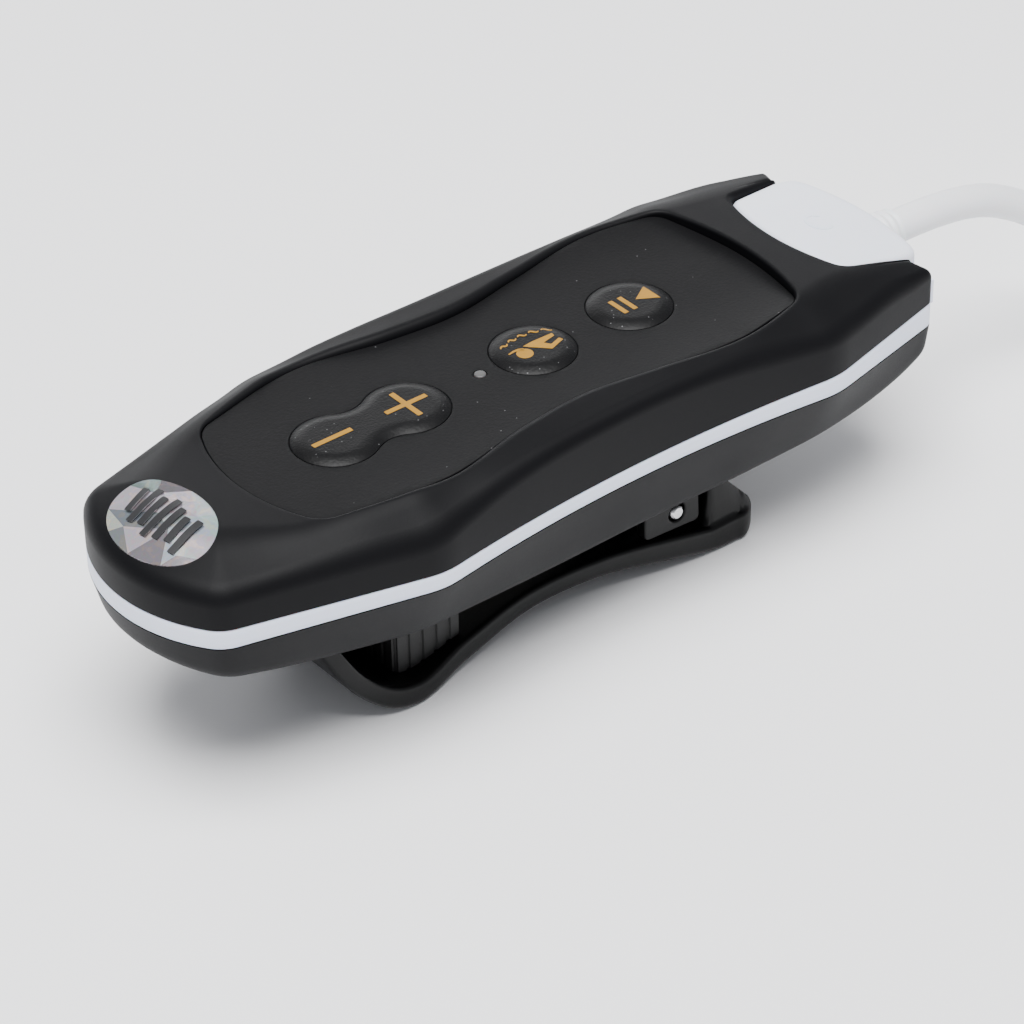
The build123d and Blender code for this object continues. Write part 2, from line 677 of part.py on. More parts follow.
with BuildPart() as jaw_pad:
    add(slab(jaw_x1, jaw_x2, jaw_half, -PARTING_Z, JAW_TOP))
    with BuildSketch(side_plane()):
        with Locations((jaw_x1 + groove_step, JAW_TOP), (jaw_x1 + 2 * groove_step, JAW_TOP)):
            Rectangle(groove_wide, 2 * groove_deep)
    extrude(amount=OVER, both=True, mode=Mode.SUBTRACT)
    add(clip_lever.part, mode=Mode.SUBTRACT)
    with BuildPart(mode=Mode.PRIVATE) as above_lever:
        with BuildSketch(side_plane()):
            with BuildLine():
                Spline(*LEVER_INNER)
                Polyline(LEVER_INNER[-1], (LEVER_INNER[-1][0], 0), (LEVER_INNER[0][0], 0), LEVER_INNER[0])
            make_face()
        extrude(amount=OVER, both=True)
    add(above_lever.part, mode=Mode.INTERSECT)
keep(jaw_pad, "jaw_pad")

with BuildPart() as clip_spring:
    coil_length = 2 * SPRING_HALF
    with BuildLine() as turn:
        Helix(coil_length / SPRING_TURNS, coil_length, SPRING_COIL_R,
              center=(pin_x, -SPRING_HALF, PARTING_Z + pin_z), direction=(0, 1, 0))
    with BuildSketch(Plane(origin=turn.line @ 0, z_dir=turn.line % 0)):
        Circle(SPRING_WIRE_R)
    sweep()
keep(clip_spring, "clip_spring")

# ---------------------------------------------------------------- inside the housing

board_x1, board_x2, board_half, board_z, board_thick = BOARD
board_top = board_z + board_thick
battery_x1, battery_x2, battery_half, battery_z1, battery_z2 = BATTERY

with BuildPart() as circuit_board:
    add(slab(board_x1, board_x2, board_half, board_z, board_top))
keep(circuit_board, "circuit_board")

with BuildPart() as jack_socket:
    add(slab(socket_x1 + 0.05, socket_x2, socket_half, socket_z1, socket_z2))
    with BuildSketch(Plane(origin=(socket_x2, 0, PARTING_Z + PLUG_AXIS), z_dir=(-1, 0, 0))):
        Circle(JACK_R + 0.05)
    extrude(amount=socket_x2 - JACK_TIP + 0.3, mode=Mode.SUBTRACT)
keep(jack_socket, "jack_socket")

switch_side, switch_case, plunger_r = SWITCH

with BuildPart() as key_switches:
    for key_x in (PLAY_X, MODE_X, PLUS_X, MINUS_X):
        with BuildSketch(level(board_top)):
            with Locations((key_x, 0)):
                Rectangle(switch_side, switch_side)
        extrude(amount=switch_case)
        add(disc(board_top + switch_case, key_x, plunger_r))
        extrude(amount=SWITCH_TOP - board_top - switch_case)
keep(key_switches, "key_switches")

led_long, led_wide, led_height = STATUS_LED

with BuildPart() as status_led:
    add(slab(LED_X - led_long, LED_X + led_long, led_wide, board_top, board_top + led_height))
keep(status_led, "status_led")

processor_x, processor_side, processor_thick = PROCESSOR

with BuildPart() as processor:
    with BuildSketch(level(board_z - processor_thick)):
        with Locations((processor_x, 0)):
            Rectangle(processor_side, processor_side)
    extrude(amount=processor_thick)
keep(processor, "processor")

memory_x, memory_long, memory_wide, memory_thick = MEMORY

with BuildPart() as memory_chip:
    with BuildSketch(level(board_z - memory_thick)):
        with Locations((memory_x, 0)):
            Rectangle(memory_long, memory_wide)
    extrude(amount=memory_thick)
keep(memory_chip, "memory_chip")

crystal_x, crystal_y, crystal_long, crystal_wide, crystal_height = CRYSTAL

with BuildPart() as crystal:
    with BuildSketch(level(board_top)):
        with Locations((crystal_x, crystal_y)):
            RectangleRounded(crystal_long, crystal_wide, 0.43 * crystal_wide)
    extrude(amount=crystal_height)
keep(crystal, "crystal")

with BuildPart() as chip_parts:
    with BuildSketch(level(board_top)):
        with GridLocations(*CHIP_ROWS):
            Rectangle(CHIP[0], CHIP[1])
    extrude(amount=CHIP[2])
keep(chip_parts, "chip_parts")

with BuildPart() as battery:
    add(slab(battery_x1, battery_x2, battery_half, battery_z1, battery_z2))
    fillet(battery.edges().filter_by(Axis.X), BATTERY_ROUND)
keep(battery, "battery")

with BuildPart() as battery_pad:
    add(slab(battery_x1 + 4, battery_x2 - 9, battery_half - 2, battery_z2, board_z - memory_thick))
keep(battery_pad, "battery_pad")

seal_out, seal_in, seal_foot, seal_thick = SEAL

with BuildPart() as housing_seal:
    with BuildSketch(level(seal_foot)):
        add(plan(0, WALL + seal_out))
        add(plan(0, WALL + seal_in), mode=Mode.SUBTRACT)
        with Locations((CAVITY_END + FAR, 0)):
            Rectangle(2 * FAR, 2 * FAR, mode=Mode.SUBTRACT)
    extrude(amount=seal_thick)
keep(housing_seal, "housing_seal")

# ---------------------------------------------------------------- earphone lead


def bends(points):
    """Radius of the arc at each inner point: as large as its two runs allow."""
    radii = []
    for a, b, c in zip(points, points[1:], points[2:]):
        run1 = Vector(*b) - Vector(*a)
        run2 = Vector(*c) - Vector(*b)
        turn = math.radians(run1.get_angle(run2))
        radii.append(0.45 * min(run1.length, run2.length) / math.tan(turn / 2))
    return radii


def tube(points, diameter):
    """Cord along straight runs joined by tangent arcs."""
    radii = bends(points)
    with BuildPart() as cord:
        with BuildLine() as path:
            FilletPolyline(*points, radius=radii)
        with BuildSketch(Plane(origin=path.wire() @ 0, z_dir=path.wire() % 0)):
            Circle(diameter / 2)
        sweep(path=path.wire())
    section = math.pi * diameter ** 2 / 4
    print("cord", diameter, "length", round(path.wire().length, 1), "volume ratio",
          round(cord.part.volume / (section * path.wire().length), 3), "radii", [round(r, 1) for r in radii])
    return cord


def walk(start, steps):
    """Points reached by a list of steps."""
    points = [start]
    for step in steps:
        points.append(tuple(p + s for p, s in zip(points[-1], step)))
    return points


relief_length, relief_r1, relief_r2 = RELIEF
exit_point = (PLUG_END + relief_length, 0, PARTING_Z + PLUG_AXIS)

with BuildPart() as cord_relief:
    with BuildSketch(Plane(origin=(PLUG_END, 0, PARTING_Z + PLUG_AXIS), z_dir=(1, 0, 0))):
        Circle(relief_r1)
    with BuildSketch(Plane(origin=exit_point, z_dir=(1, 0, 0))):
        Circle(relief_r2)
    loft()
keep(cord_relief, "cord_relief")

lead_points = walk(exit_point, LEAD_ROUTE)
lead = tube(lead_points, LEAD_D)
keep(lead, "lead_run")


def hank(center, run, inner, outer, height):
    """Closed shape of a folded hank, which lies on the bottom of its tie."""
    with BuildPart() as shape:
        with BuildSketch(Plane.XY.offset(HANK_FLOOR)):
            with Locations(center):
                SlotCenterToCenter(run, 2 * outer)
                SlotCenterToCenter(run, 2 * inner, mode=Mode.SUBTRACT)
        extrude(amount=height)
        fillet(shape.edges(), HANK_ROUND)
    return shape


def band(x, half, top):
    """Flat band round the middle of what it ties."""
    tie_width, tie_thick = TIE
    with BuildPart() as tie:
        with BuildSketch(Plane(origin=(x - tie_width / 2, 0, TABLE_GAP), x_dir=(0, 1, 0), z_dir=(1, 0, 0))):
            with Locations((0, (top + tie_thick) / 2)):
                RectangleRounded(2 * half + 2 * tie_thick, top + tie_thick, HANK_ROUND + tie_thick)
                RectangleRounded(2 * half, top - tie_thick, HANK_ROUND, mode=Mode.SUBTRACT)
        extrude(amount=tie_width)
    return tie


HANK_FLOOR = TABLE_GAP + TIE[1] + TABLE_GAP

# the lead's hank: two layers of two turns; the lead comes in along its near side
hank_out, hank_in = LEAD_HANK_R
hank_x1 = lead_points[-1][0] + LEAD_D / 2
hank_x2 = hank_x1 + LEAD_HANK_RUN
lead_hank_height = LEAD_LAYERS * LEAD_D
lead_hank = hank(((hank_x1 + hank_x2) / 2, 0), LEAD_HANK_RUN, hank_in - LEAD_D / 2, hank_out + LEAD_D / 2,
                 lead_hank_height)
keep(lead_hank, "lead_hank")
lead_tie = band((hank_x1 + hank_x2) / 2, hank_out + LEAD_D / 2 + TABLE_GAP,
                HANK_FLOOR + lead_hank_height + TABLE_GAP)
keep(lead_tie, "lead_tie")

# from the hank's upper layer down to the splitter on the table
tail_start = (hank_x2, -hank_out, HANK_FLOOR + (LEAD_LAYERS - 0.5) * LEAD_D)
tail_points = walk(tail_start, TAIL_ROUTE)
keep(tube(tail_points, LEAD_D), "lead_tail")

splitter_length, splitter_width, splitter_height = SPLITTER
splitter_x, splitter_y, splitter_z = tail_points[-1]

with BuildPart() as splitter:
    with BuildSketch(Plane.XY.offset(TABLE_GAP)):
        with Locations((splitter_x + splitter_length / 2, splitter_y)):
            RectangleRounded(splitter_length, splitter_width, SPLITTER_ROUND[0])
    extrude(amount=splitter_height)
    fillet(splitter.faces().sort_by(Axis.Z)[-1].edges(), SPLITTER_ROUND[1])
keep(splitter, "splitter")

bud_foot, bud_top, tip_top = BUD_HEIGHTS
branch_hank_height = BRANCH_LAYERS * BRANCH_D
branch_center = HANK_GAP + BRANCH_D / 2 + BRANCH_HANK_R
for name, side in (("left", 1), ("right", -1)):
    start = (splitter_x + splitter_length, splitter_y + side * BRANCH_Y, HANK_FLOOR + BRANCH_D / 2)
    points = walk(start, [(dx, side * dy, dz) for dx, dy, dz in BRANCH_ROUTE])
    keep(tube(points, BRANCH_D), f"{name}_branch")
    branch_x1 = points[-1][0] + BRANCH_D / 2
    branch_x2 = branch_x1 + BRANCH_HANK_RUN
    branch_hank = hank(((branch_x1 + branch_x2) / 2, side * branch_center), BRANCH_HANK_RUN,
                       BRANCH_HANK_R - BRANCH_D / 2, BRANCH_HANK_R + BRANCH_D / 2, branch_hank_height)
    keep(branch_hank, f"{name}_hank")
    leave = (branch_x2 + BRANCH_D, side * (HANK_GAP + BRANCH_D / 2),
             HANK_FLOOR + (BRANCH_LAYERS - 0.5) * BRANCH_D)
    bud_points = walk(leave, [(dx, side * dy, dz) for dx, dy, dz in BUD_ROUTE])
    keep(tube(bud_points, BRANCH_D), f"{name}_bud_cord")
    center = (bud_points[-1][0] + BUD_ENTRY[0], bud_points[-1][1] + side * BUD_ENTRY[1])
    with BuildPart() as bud:
        with BuildSketch(Plane(origin=(*center, bud_foot))):
            Circle(BUD_R)
        extrude(amount=bud_top - bud_foot)
        fillet(bud.edges(), BUD_ROUND)
        with BuildSketch(Plane(origin=(*center, bud_top - BUD_ROUND / 4))):
            Circle(TIP_R)
        extrude(amount=tip_top - bud_top + BUD_ROUND / 4)
        fillet(bud.faces().sort_by(Axis.Z)[-1].edges(), TIP_ROUND)
    keep(bud, f"{name}_bud")

branch_tie = band((branch_x1 + branch_x2) / 2, branch_center + BRANCH_HANK_R + BRANCH_D / 2 + TABLE_GAP,
                  HANK_FLOOR + branch_hank_height + TABLE_GAP)
keep(branch_tie, "branch_tie")
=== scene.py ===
"""Looks of a clip-on sport audio player, around the CAD frame: skins, finishes, cords, lights and camera.

Shapes are worked out in millimetres, X from the sticker end to the plug end and Z from the parting
plane, and go to metres in the shared frame when a piece is made.
"""
import math
import random

import bmesh
import bpy
import numpy as np
from mathutils import Matrix, Vector
from mathutils.geometry import delaunay_2d_cdt


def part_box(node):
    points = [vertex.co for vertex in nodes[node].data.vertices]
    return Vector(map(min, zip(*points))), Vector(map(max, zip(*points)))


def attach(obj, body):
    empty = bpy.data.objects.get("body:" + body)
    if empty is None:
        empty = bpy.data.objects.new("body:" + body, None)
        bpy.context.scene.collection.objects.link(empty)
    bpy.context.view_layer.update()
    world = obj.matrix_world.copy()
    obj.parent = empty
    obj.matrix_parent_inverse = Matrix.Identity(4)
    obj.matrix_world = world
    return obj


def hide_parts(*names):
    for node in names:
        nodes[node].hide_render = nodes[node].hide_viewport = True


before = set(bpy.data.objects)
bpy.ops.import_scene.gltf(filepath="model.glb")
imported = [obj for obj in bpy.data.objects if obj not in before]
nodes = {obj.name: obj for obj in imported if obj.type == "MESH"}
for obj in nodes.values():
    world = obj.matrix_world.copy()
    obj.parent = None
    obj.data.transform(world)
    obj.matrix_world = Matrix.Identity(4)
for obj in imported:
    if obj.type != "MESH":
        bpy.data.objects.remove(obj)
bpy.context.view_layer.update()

MM = 0.001
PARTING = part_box("mid_frame")[0].z / MM          # height of the parting plane above the table

# ---------------- sizes, as in the CAD model

SHOULDER = (41.9, 12.0)
UPPER_WIDE = (26.6, 15.25)
WAIST = (4.0, 13.7)
LOWER_WIDE = (-20.1, 15.7)
TAPER_END = (-40.3, 10.5)
END_X = -44.2
KEEL = ((40.9, 11.7), (26.6, 11.7), (-20.1, 11.7), (-38.7, 8.9))
KEEL_WAIST = (4.0, 11.6)
KEEL_END_X = -42.4
KEEL_DEEP = -7.8
BELLY = ((-46.0, -2.85), (-44.6, -3.2), (-36.0, -5.1), (-27.0, -6.4), (-17.0, -7.3), (-8.0, -7.7),
         (6.0, -7.63), (20.0, -7.55), (27.0, -7.1), (33.0, -6.2), (38.0, -4.85), (42.4, -3.0))
CORNER_REACH = (1.3, 1.7, 1.7, 1.3)              # rounding at the shoulder, wide corners and taper end

FRAME_TOP = ((-46.0, 2.1), (-20.0, 1.78), (0.0, 1.7), (20.0, 1.92), (46.0, 2.75))

# front cover: height of the side wall's edge, height of the crest, distance from side to crest
EDGE_HEIGHT = ((-46.0, 5.5), (-38.0, 5.65), (-27.0, 5.65), (-21.0, 5.6), (-17.0, 6.35), (-13.0, 7.2),
               (-8.6, 7.7), (-2.0, 8.0), (5.0, 8.1), (12.5, 7.8), (20.0, 6.95), (28.0, 6.5),
               (34.6, 6.8), (42.0, 6.1))
CREST_HEIGHT = ((-46.0, 7.5), (-39.0, 7.85), (-34.0, 7.75), (-30.0, 7.75), (-25.0, 8.1), (-20.0, 8.45),
                (-11.0, 8.6), (2.0, 8.6), (11.0, 8.65), (20.0, 8.8), (28.0, 8.6), (32.0, 8.3),
                (37.0, 7.45), (42.0, 6.35))
CREST_REACH = ((-46.0, 6.2), (-38.0, 5.8), (-30.0, 3.7), (-18.0, 4.1), (-9.0, 4.3), (0.0, 4.3),
               (9.0, 3.6), (18.0, 2.9), (25.0, 4.3), (30.0, 4.4), (36.0, 3.4), (42.0, 2.2))

RECESS_SIDE = ((26.0, 10.2), (18.0, 11.5), (8.0, 10.2), (0.5, 9.1), (-6.5, 9.6), (-16.0, 11.3),
               (-28.5, 9.3))
RECESS_PLUG_X = 27.9
RECESS_END_X = -31.0
PANEL_HEIGHT = 7.6
PANEL_RISE = ((-31.0, 0.02), (-28.0, 0.05), (-20.0, 0.25), (-10.0, 0.25), (0.0, 0.2), (9.0, 0.35),
              (18.0, 0.6), (26.0, 0.55), (28.0, 0.4))

NOTCH = ((33.4, 8.2), (40.0, 9.3))
NOTCH_ROOT_X = 31.8

KEY_R = 4.15
KEY_RISE = 0.46
PLAY_X = 13.95
MODE_X = 2.4
LED_X = -3.8
PLUS_X = -12.3
MINUS_X = -20.2
VOLUME_WAIST = 3.0

# ---------------- plane geometry, millimetres


def curve(x, table):
    """Smooth height or width along X through a table of stations."""
    xs = np.array([p[0] for p in table], float)
    ys = np.array([p[1] for p in table], float)
    slope = np.gradient(ys, xs)
    x = np.clip(x, xs[0], xs[-1])
    k = np.clip(np.searchsorted(xs, x, side="right") - 1, 0, len(xs) - 2)
    h = xs[k + 1] - xs[k]
    t = (x - xs[k]) / h
    return ((2 * t ** 3 - 3 * t ** 2 + 1) * ys[k] + (t ** 3 - 2 * t ** 2 + t) * h * slope[k]
            + (3 * t ** 2 - 2 * t ** 3) * ys[k + 1] + (t ** 3 - t ** 2) * h * slope[k + 1])


def arc(a, via, b, count=60):
    """Points on the circle through three points."""
    (ax, ay), (bx, by), (cx, cy) = a, via, b
    d = 2 * (ax * (by - cy) + bx * (cy - ay) + cx * (ay - by))
    aa, bb, cc = ax ** 2 + ay ** 2, bx ** 2 + by ** 2, cx ** 2 + cy ** 2
    ux = (aa * (by - cy) + bb * (cy - ay) + cc * (ay - by)) / d
    uy = (aa * (cx - bx) + bb * (ax - cx) + cc * (bx - ax)) / d
    first, middle, last = (math.atan2(y - uy, x - ux) for x, y in (a, via, b))
    turn = (last - first) % (2 * math.pi)
    if (middle - first) % (2 * math.pi) > turn:
        turn -= 2 * math.pi
    angles = first + turn * np.linspace(0, 1, count + 1)
    radius = math.hypot(ax - ux, ay - uy)
    return np.stack([ux + radius * np.cos(angles), uy + radius * np.sin(angles)], 1)


def from_axis(end, middle_x, count=30):
    """Arc from the X axis at middle_x out to its end, half of one that is even about the axis."""
    return arc((end[0], -end[1]), (middle_x, 0), end, 2 * count)[count:]


def to_axis(end, middle_x, count=30):
    """Arc from its end back to the X axis at middle_x, half of one that is even about the axis."""
    return arc(end, (middle_x, 0), (end[0], -end[1]), 2 * count)[:count + 1]


def chain(*points):
    """Straight stretches from each point to the next."""
    return [np.array(pair, float) for pair in zip(points, points[1:])]


def straight(x, table):
    """Height or width along X, straight between its stations."""
    return np.interp(x, [p[0] for p in table], [p[1] for p in table])


def lengths(points):
    return np.concatenate([[0], np.cumsum(np.linalg.norm(np.diff(points, axis=0), axis=1))])


def at_lengths(points, wanted):
    """Points of a path at given distances along it."""
    run = lengths(points)
    return np.stack([np.interp(wanted, run, points[:, i]) for i in range(points.shape[1])], 1)


def rounded_path(stretches, reaches, counts, corner_steps=7):
    """One path from several, each corner between two of them rounded over its reach."""
    out = []
    for k, (stretch, count) in enumerate(zip(stretches, counts)):
        total = lengths(stretch)[-1]
        before = reaches[k - 1] if k else 0
        after = reaches[k] if k < len(reaches) else 0
        body = at_lengths(stretch, np.linspace(before, total - after, count))
        if k:
            corner, last = stretch[0], out[-1][-1]
            t = np.linspace(0, 1, corner_steps + 2)[1:-1, None]
            out.append((1 - t) ** 2 * last + 2 * t * (1 - t) * corner + t ** 2 * body[0])
        out.append(body)
    return np.concatenate(out)


def both_sides(half):
    """Closed loop from its +Y half, which starts and ends on the X axis."""
    other = half[1:-1][::-1] * (1, -1)
    return np.concatenate([half, other])


def away(points, loop, closed=True):
    """Distance from each point to a path, and the number of the path's nearest piece."""
    a = loop if closed else loop[:-1]
    b = np.roll(loop, -1, axis=0) if closed else loop[1:]
    run = b - a
    size = np.maximum((run ** 2).sum(1), 1e-12)
    found, nearest = [], []
    for part in np.array_split(points, max(1, len(points) // 1500)):
        gap = part[:, None] - a[None]
        t = np.clip((gap * run[None]).sum(2) / size, 0, 1)
        squared = ((gap - t[..., None] * run[None]) ** 2).sum(2)
        nearest.append(squared.argmin(1))
        found.append(np.sqrt(squared.min(1)))
    return np.concatenate(found), np.concatenate(nearest)


def inside(points, loop):
    """True for each point inside a closed loop."""
    x, y = points[:, 0, None], points[:, 1, None]
    a, b = loop, np.roll(loop, -1, axis=0)
    crosses = (a[:, 1] > y) != (b[:, 1] > y)
    run = np.where(np.abs(b[:, 1] - a[:, 1]) < 1e-12, 1e-12, b[:, 1] - a[:, 1])
    at = a[:, 0] + (y - a[:, 1]) * (b[:, 0] - a[:, 0]) / run
    return (crosses & (x < at)).sum(1) % 2 == 1


def left_of(ahead):
    """Unit vectors to the left of some directions."""
    ahead = ahead / np.maximum(np.linalg.norm(ahead, axis=1), 1e-9)[:, None]
    return np.stack([-ahead[:, 1], ahead[:, 0]], 1)


def offset(loop, distance):
    """Loop moved inwards by a distance; a loop runs counter-clockwise."""
    return loop + distance * left_of(np.roll(loop, -1, axis=0) - np.roll(loop, 1, axis=0))


def turned_left(loop):
    """Loop that runs counter-clockwise."""
    nxt = np.roll(loop, -1, axis=0)
    area = (loop[:, 0] * nxt[:, 1] - nxt[:, 0] * loop[:, 1]).sum()
    return loop if area > 0 else loop[::-1]


def drop(distance, radius):
    """How far a rounded edge lies below the full surface at a distance from the edge."""
    d = np.clip(distance, 0, radius)
    return radius - np.sqrt(np.maximum(radius ** 2 - (radius - d) ** 2, 0))


def circle(x, y, radius, count=72):
    angles = np.linspace(0, 2 * math.pi, count, endpoint=False)
    return np.stack([x + radius * np.cos(angles), y + radius * np.sin(angles)], 1)


def rectangle(x1, x2, half):
    return np.array([(x1, -half), (x2, -half), (x2, half), (x1, half)])


def spaced(loop, step):
    """Closed loop sampled again at about one step."""
    closed = np.concatenate([loop, loop[:1]])
    total = lengths(closed)[-1]
    count = max(8, int(total / step))
    return at_lengths(closed, np.linspace(0, total, count, endpoint=False))


# ---------------- making pieces


def place(points):
    return (np.asarray(points, float) + (0, 0, PARTING)) * MM


def piece(name, points, faces, finish, body="root", stands_for=(), slot=None, sharp=40):
    """A mesh piece from millimetre points, riding on its body."""
    mesh = bpy.data.meshes.new(name)
    mesh.from_pydata(place(points).tolist(), [], [tuple(int(i) for i in f) for f in faces])
    build = bmesh.new()
    build.from_mesh(mesh)
    bmesh.ops.remove_doubles(build, verts=build.verts, dist=2e-6)
    bmesh.ops.dissolve_degenerate(build, edges=build.edges, dist=1e-7)
    bmesh.ops.recalc_face_normals(build, faces=build.faces)
    build.to_mesh(mesh)
    build.free()
    return finished(name, mesh, finish, body, stands_for, sharp)


def finished(name, mesh, finish, body, stands_for=(), sharp=40):
    """An object for a finished mesh, smooth except at its sharp edges."""
    mesh.materials.clear()
    mesh.materials.append(finish)
    mesh.shade_smooth()
    mesh.set_sharp_from_angle(angle=math.radians(sharp))
    obj = bpy.data.objects.new(name, mesh)
    bpy.context.scene.collection.objects.link(obj)
    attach(obj, body)
    if stands_for:
        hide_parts(*stands_for)
    return obj


def skin(rows, closed=True, wrap=False):
    """Quads between rows of points; closed joins a row's ends, and wrap joins the last row to the first."""
    count = len(rows[0])
    faces = []
    last = len(rows) if wrap else len(rows) - 1
    for r in range(last):
        low, high = r * count, ((r + 1) % len(rows)) * count
        for i in range(count if closed else count - 1):
            j = (i + 1) % count
            faces.append((low + i, low + j, high + j, high + i))
    return np.concatenate(rows), faces


def with_height(points, height):
    return np.column_stack([points, np.broadcast_to(height, len(points))])


def triangles(loops, spare):
    """Triangles of the flat shape inside the first loop and outside the others, with extra points in it."""
    points, edges = [], []
    for loop in loops:
        start = len(points)
        points += [tuple(p) for p in loop]
        edges += [(start + i, start + (i + 1) % len(loop)) for i in range(len(loop))]
    points += [tuple(p) for p in spare]
    verts, _, faces, origin, _, _ = delaunay_2d_cdt([Vector(p) for p in points], edges, [], 0, 1e-6)
    flat = np.array([tuple(v) for v in verts])
    faces = np.array([tuple(f) for f in faces])
    middle = flat[faces].mean(1)
    keep = inside(middle, loops[0])
    for hole in loops[1:]:
        keep &= ~inside(middle, hole)
    place_of = {old: new for new, olds in enumerate(origin) for old in olds}
    rims, start = [], 0
    for loop in loops:
        rims.append([place_of[start + i] for i in range(len(loop))])
        start += len(loop)
    return flat, faces[keep], rims


ROUND_ANGLES = (22, 42, 60, 76, 90)              # where a rounded edge gets its rows of points
ROW_SPACING = 0.866                              # between the rows of a grid of even triangles
RIM_CLEAR = 0.55                                 # grid steps kept free beside an edge


def plate_mesh(outer, holes, top, bottom, step, round_top=0.0, round_low=0.0):
    """Closed plate between two heights over a flat shape, its outer and hole edges rounded."""
    outer = turned_left(outer)
    holes = [turned_left(h) for h in holes]
    reach = max(round_top, round_low)
    steps = [reach * (1 - math.cos(math.radians(a))) for a in ROUND_ANGLES] if reach > 0.02 else []
    spare = [offset(outer, s) for s in steps] + [offset(h, -s) for h in holes for s in steps]
    low, high = outer.min(0), outer.max(0)
    xs = np.arange(low[0], high[0], step)
    ys = np.arange(low[1], high[1], step * ROW_SPACING)
    grid = np.array([(x + (step / 2 if r % 2 else 0), y) for r, y in enumerate(ys) for x in xs])
    clear = inside(grid, outer) & (away(grid, outer)[0] > reach + step * RIM_CLEAR)
    for h in holes:
        clear &= ~inside(grid, h) & (away(grid, h)[0] > reach + step * RIM_CLEAR)
    if spare:
        rim = np.concatenate(spare)
        good = inside(rim, outer)
        for h in holes:
            good &= ~inside(rim, h)
        extra = np.concatenate([rim[good], grid[clear]])
    else:
        extra = grid[clear]
    flat, faces, rims = triangles([outer, *holes], extra)
    gap = away(flat, outer)[0]
    for h in holes:
        gap = np.minimum(gap, away(flat, h)[0])
    up = top(flat[:, 0], flat[:, 1]) - (drop(gap, round_top) if round_top else 0)
    down = bottom(flat[:, 0], flat[:, 1]) + (drop(gap, round_low) if round_low else 0)
    points = np.concatenate([with_height(flat, up), with_height(flat, down)])
    count = len(flat)
    made = [tuple(f) for f in faces] + [tuple(f[::-1] + count) for f in faces]
    for rim in rims:
        for i, a in enumerate(rim):
            b = rim[(i + 1) % len(rim)]
            made.append((a, b, b + count, a + count))
    return points, made


def plate(name, outer, finish, top, bottom, holes=(), step=0.6, round_top=0.0, round_low=0.0, **more):
    points, faces = plate_mesh(outer, list(holes), top, bottom, step, round_top, round_low)
    return piece(name, points, faces, finish, **more)


def level(height):
    return lambda x, y: np.full(len(x), float(height))


def lathe(name, profile, centre, finish, axis="Z", segments=48, **more):
    """Turned piece: its profile is radius and height, and both ends are on the axis."""
    angles = np.linspace(0, 2 * math.pi, segments, endpoint=False)
    rows = []
    for radius, height in profile:
        a, b = radius * np.cos(angles), radius * np.sin(angles)
        c = np.full(segments, height)
        order = {"Z": (a, b, c), "X": (c, a, b), "Y": (a, c, b)}[axis]
        rows.append(np.stack(order, 1) + centre)
    points, faces = skin(rows)
    faces += [tuple(range(segments)), tuple((len(rows) - 1) * segments + i for i in range(segments))]
    return piece(name, points, faces, finish, **more)


def evaluated_mesh(obj):
    """Plain mesh of an object as its modifiers and curve settings make it."""
    bpy.context.view_layer.update()
    graph = bpy.context.evaluated_depsgraph_get()
    return bpy.data.meshes.new_from_object(obj.evaluated_get(graph))


def bevelled(obj, width, segments=3, angle=30):
    """Rounds the sharp edges of a piece by a width in millimetres, for good."""
    change = obj.modifiers.new("edges", "BEVEL")
    change.width = width * MM
    change.segments = segments
    change.limit_method = "ANGLE"
    change.angle_limit = math.radians(angle)
    change.harden_normals = False
    mesh = evaluated_mesh(obj)
    obj.modifiers.clear()
    obj.data = mesh
    mesh.shade_smooth()
    mesh.set_sharp_from_angle(angle=math.radians(50))
    return obj


# ---------------- shader sums


class Number:
    """A number inside a finish, worked out per point, written as ordinary sums."""

    def __init__(self, finish, socket):
        self.finish, self.socket = finish, socket

    def _math(self, operation, *values):
        ins = {i: v for i, v in enumerate(values)}
        return self.finish.number("ShaderNodeMath", {"operation": operation}, ins)

    def __add__(self, other):
        return self._math("ADD", self, other)

    def __sub__(self, other):
        return self._math("SUBTRACT", self, other)

    def __mul__(self, other):
        return self._math("MULTIPLY", self, other)

    def above(self, other):
        return self._math("GREATER_THAN", self, other)

    def below(self, other):
        return self._math("LESS_THAN", self, other)

    def clamp(self):
        return self._math("MINIMUM", self._math("MAXIMUM", self, 0.0), 1.0)


def set_input(tree, socket, value):
    """Links a node's input to a socket, or gives it a plain value."""
    if isinstance(value, Number):
        value = value.socket
    if isinstance(value, bpy.types.NodeSocket):
        tree.links.new(value, socket)
    else:
        socket.default_value = value


def add_node(tree, kind, settings=(), ins=()):
    made = tree.nodes.new(kind)
    for key, value in dict(settings).items():
        setattr(made, key, value)
    for key, value in dict(ins).items():
        set_input(tree, made.inputs[key], value)
    return made


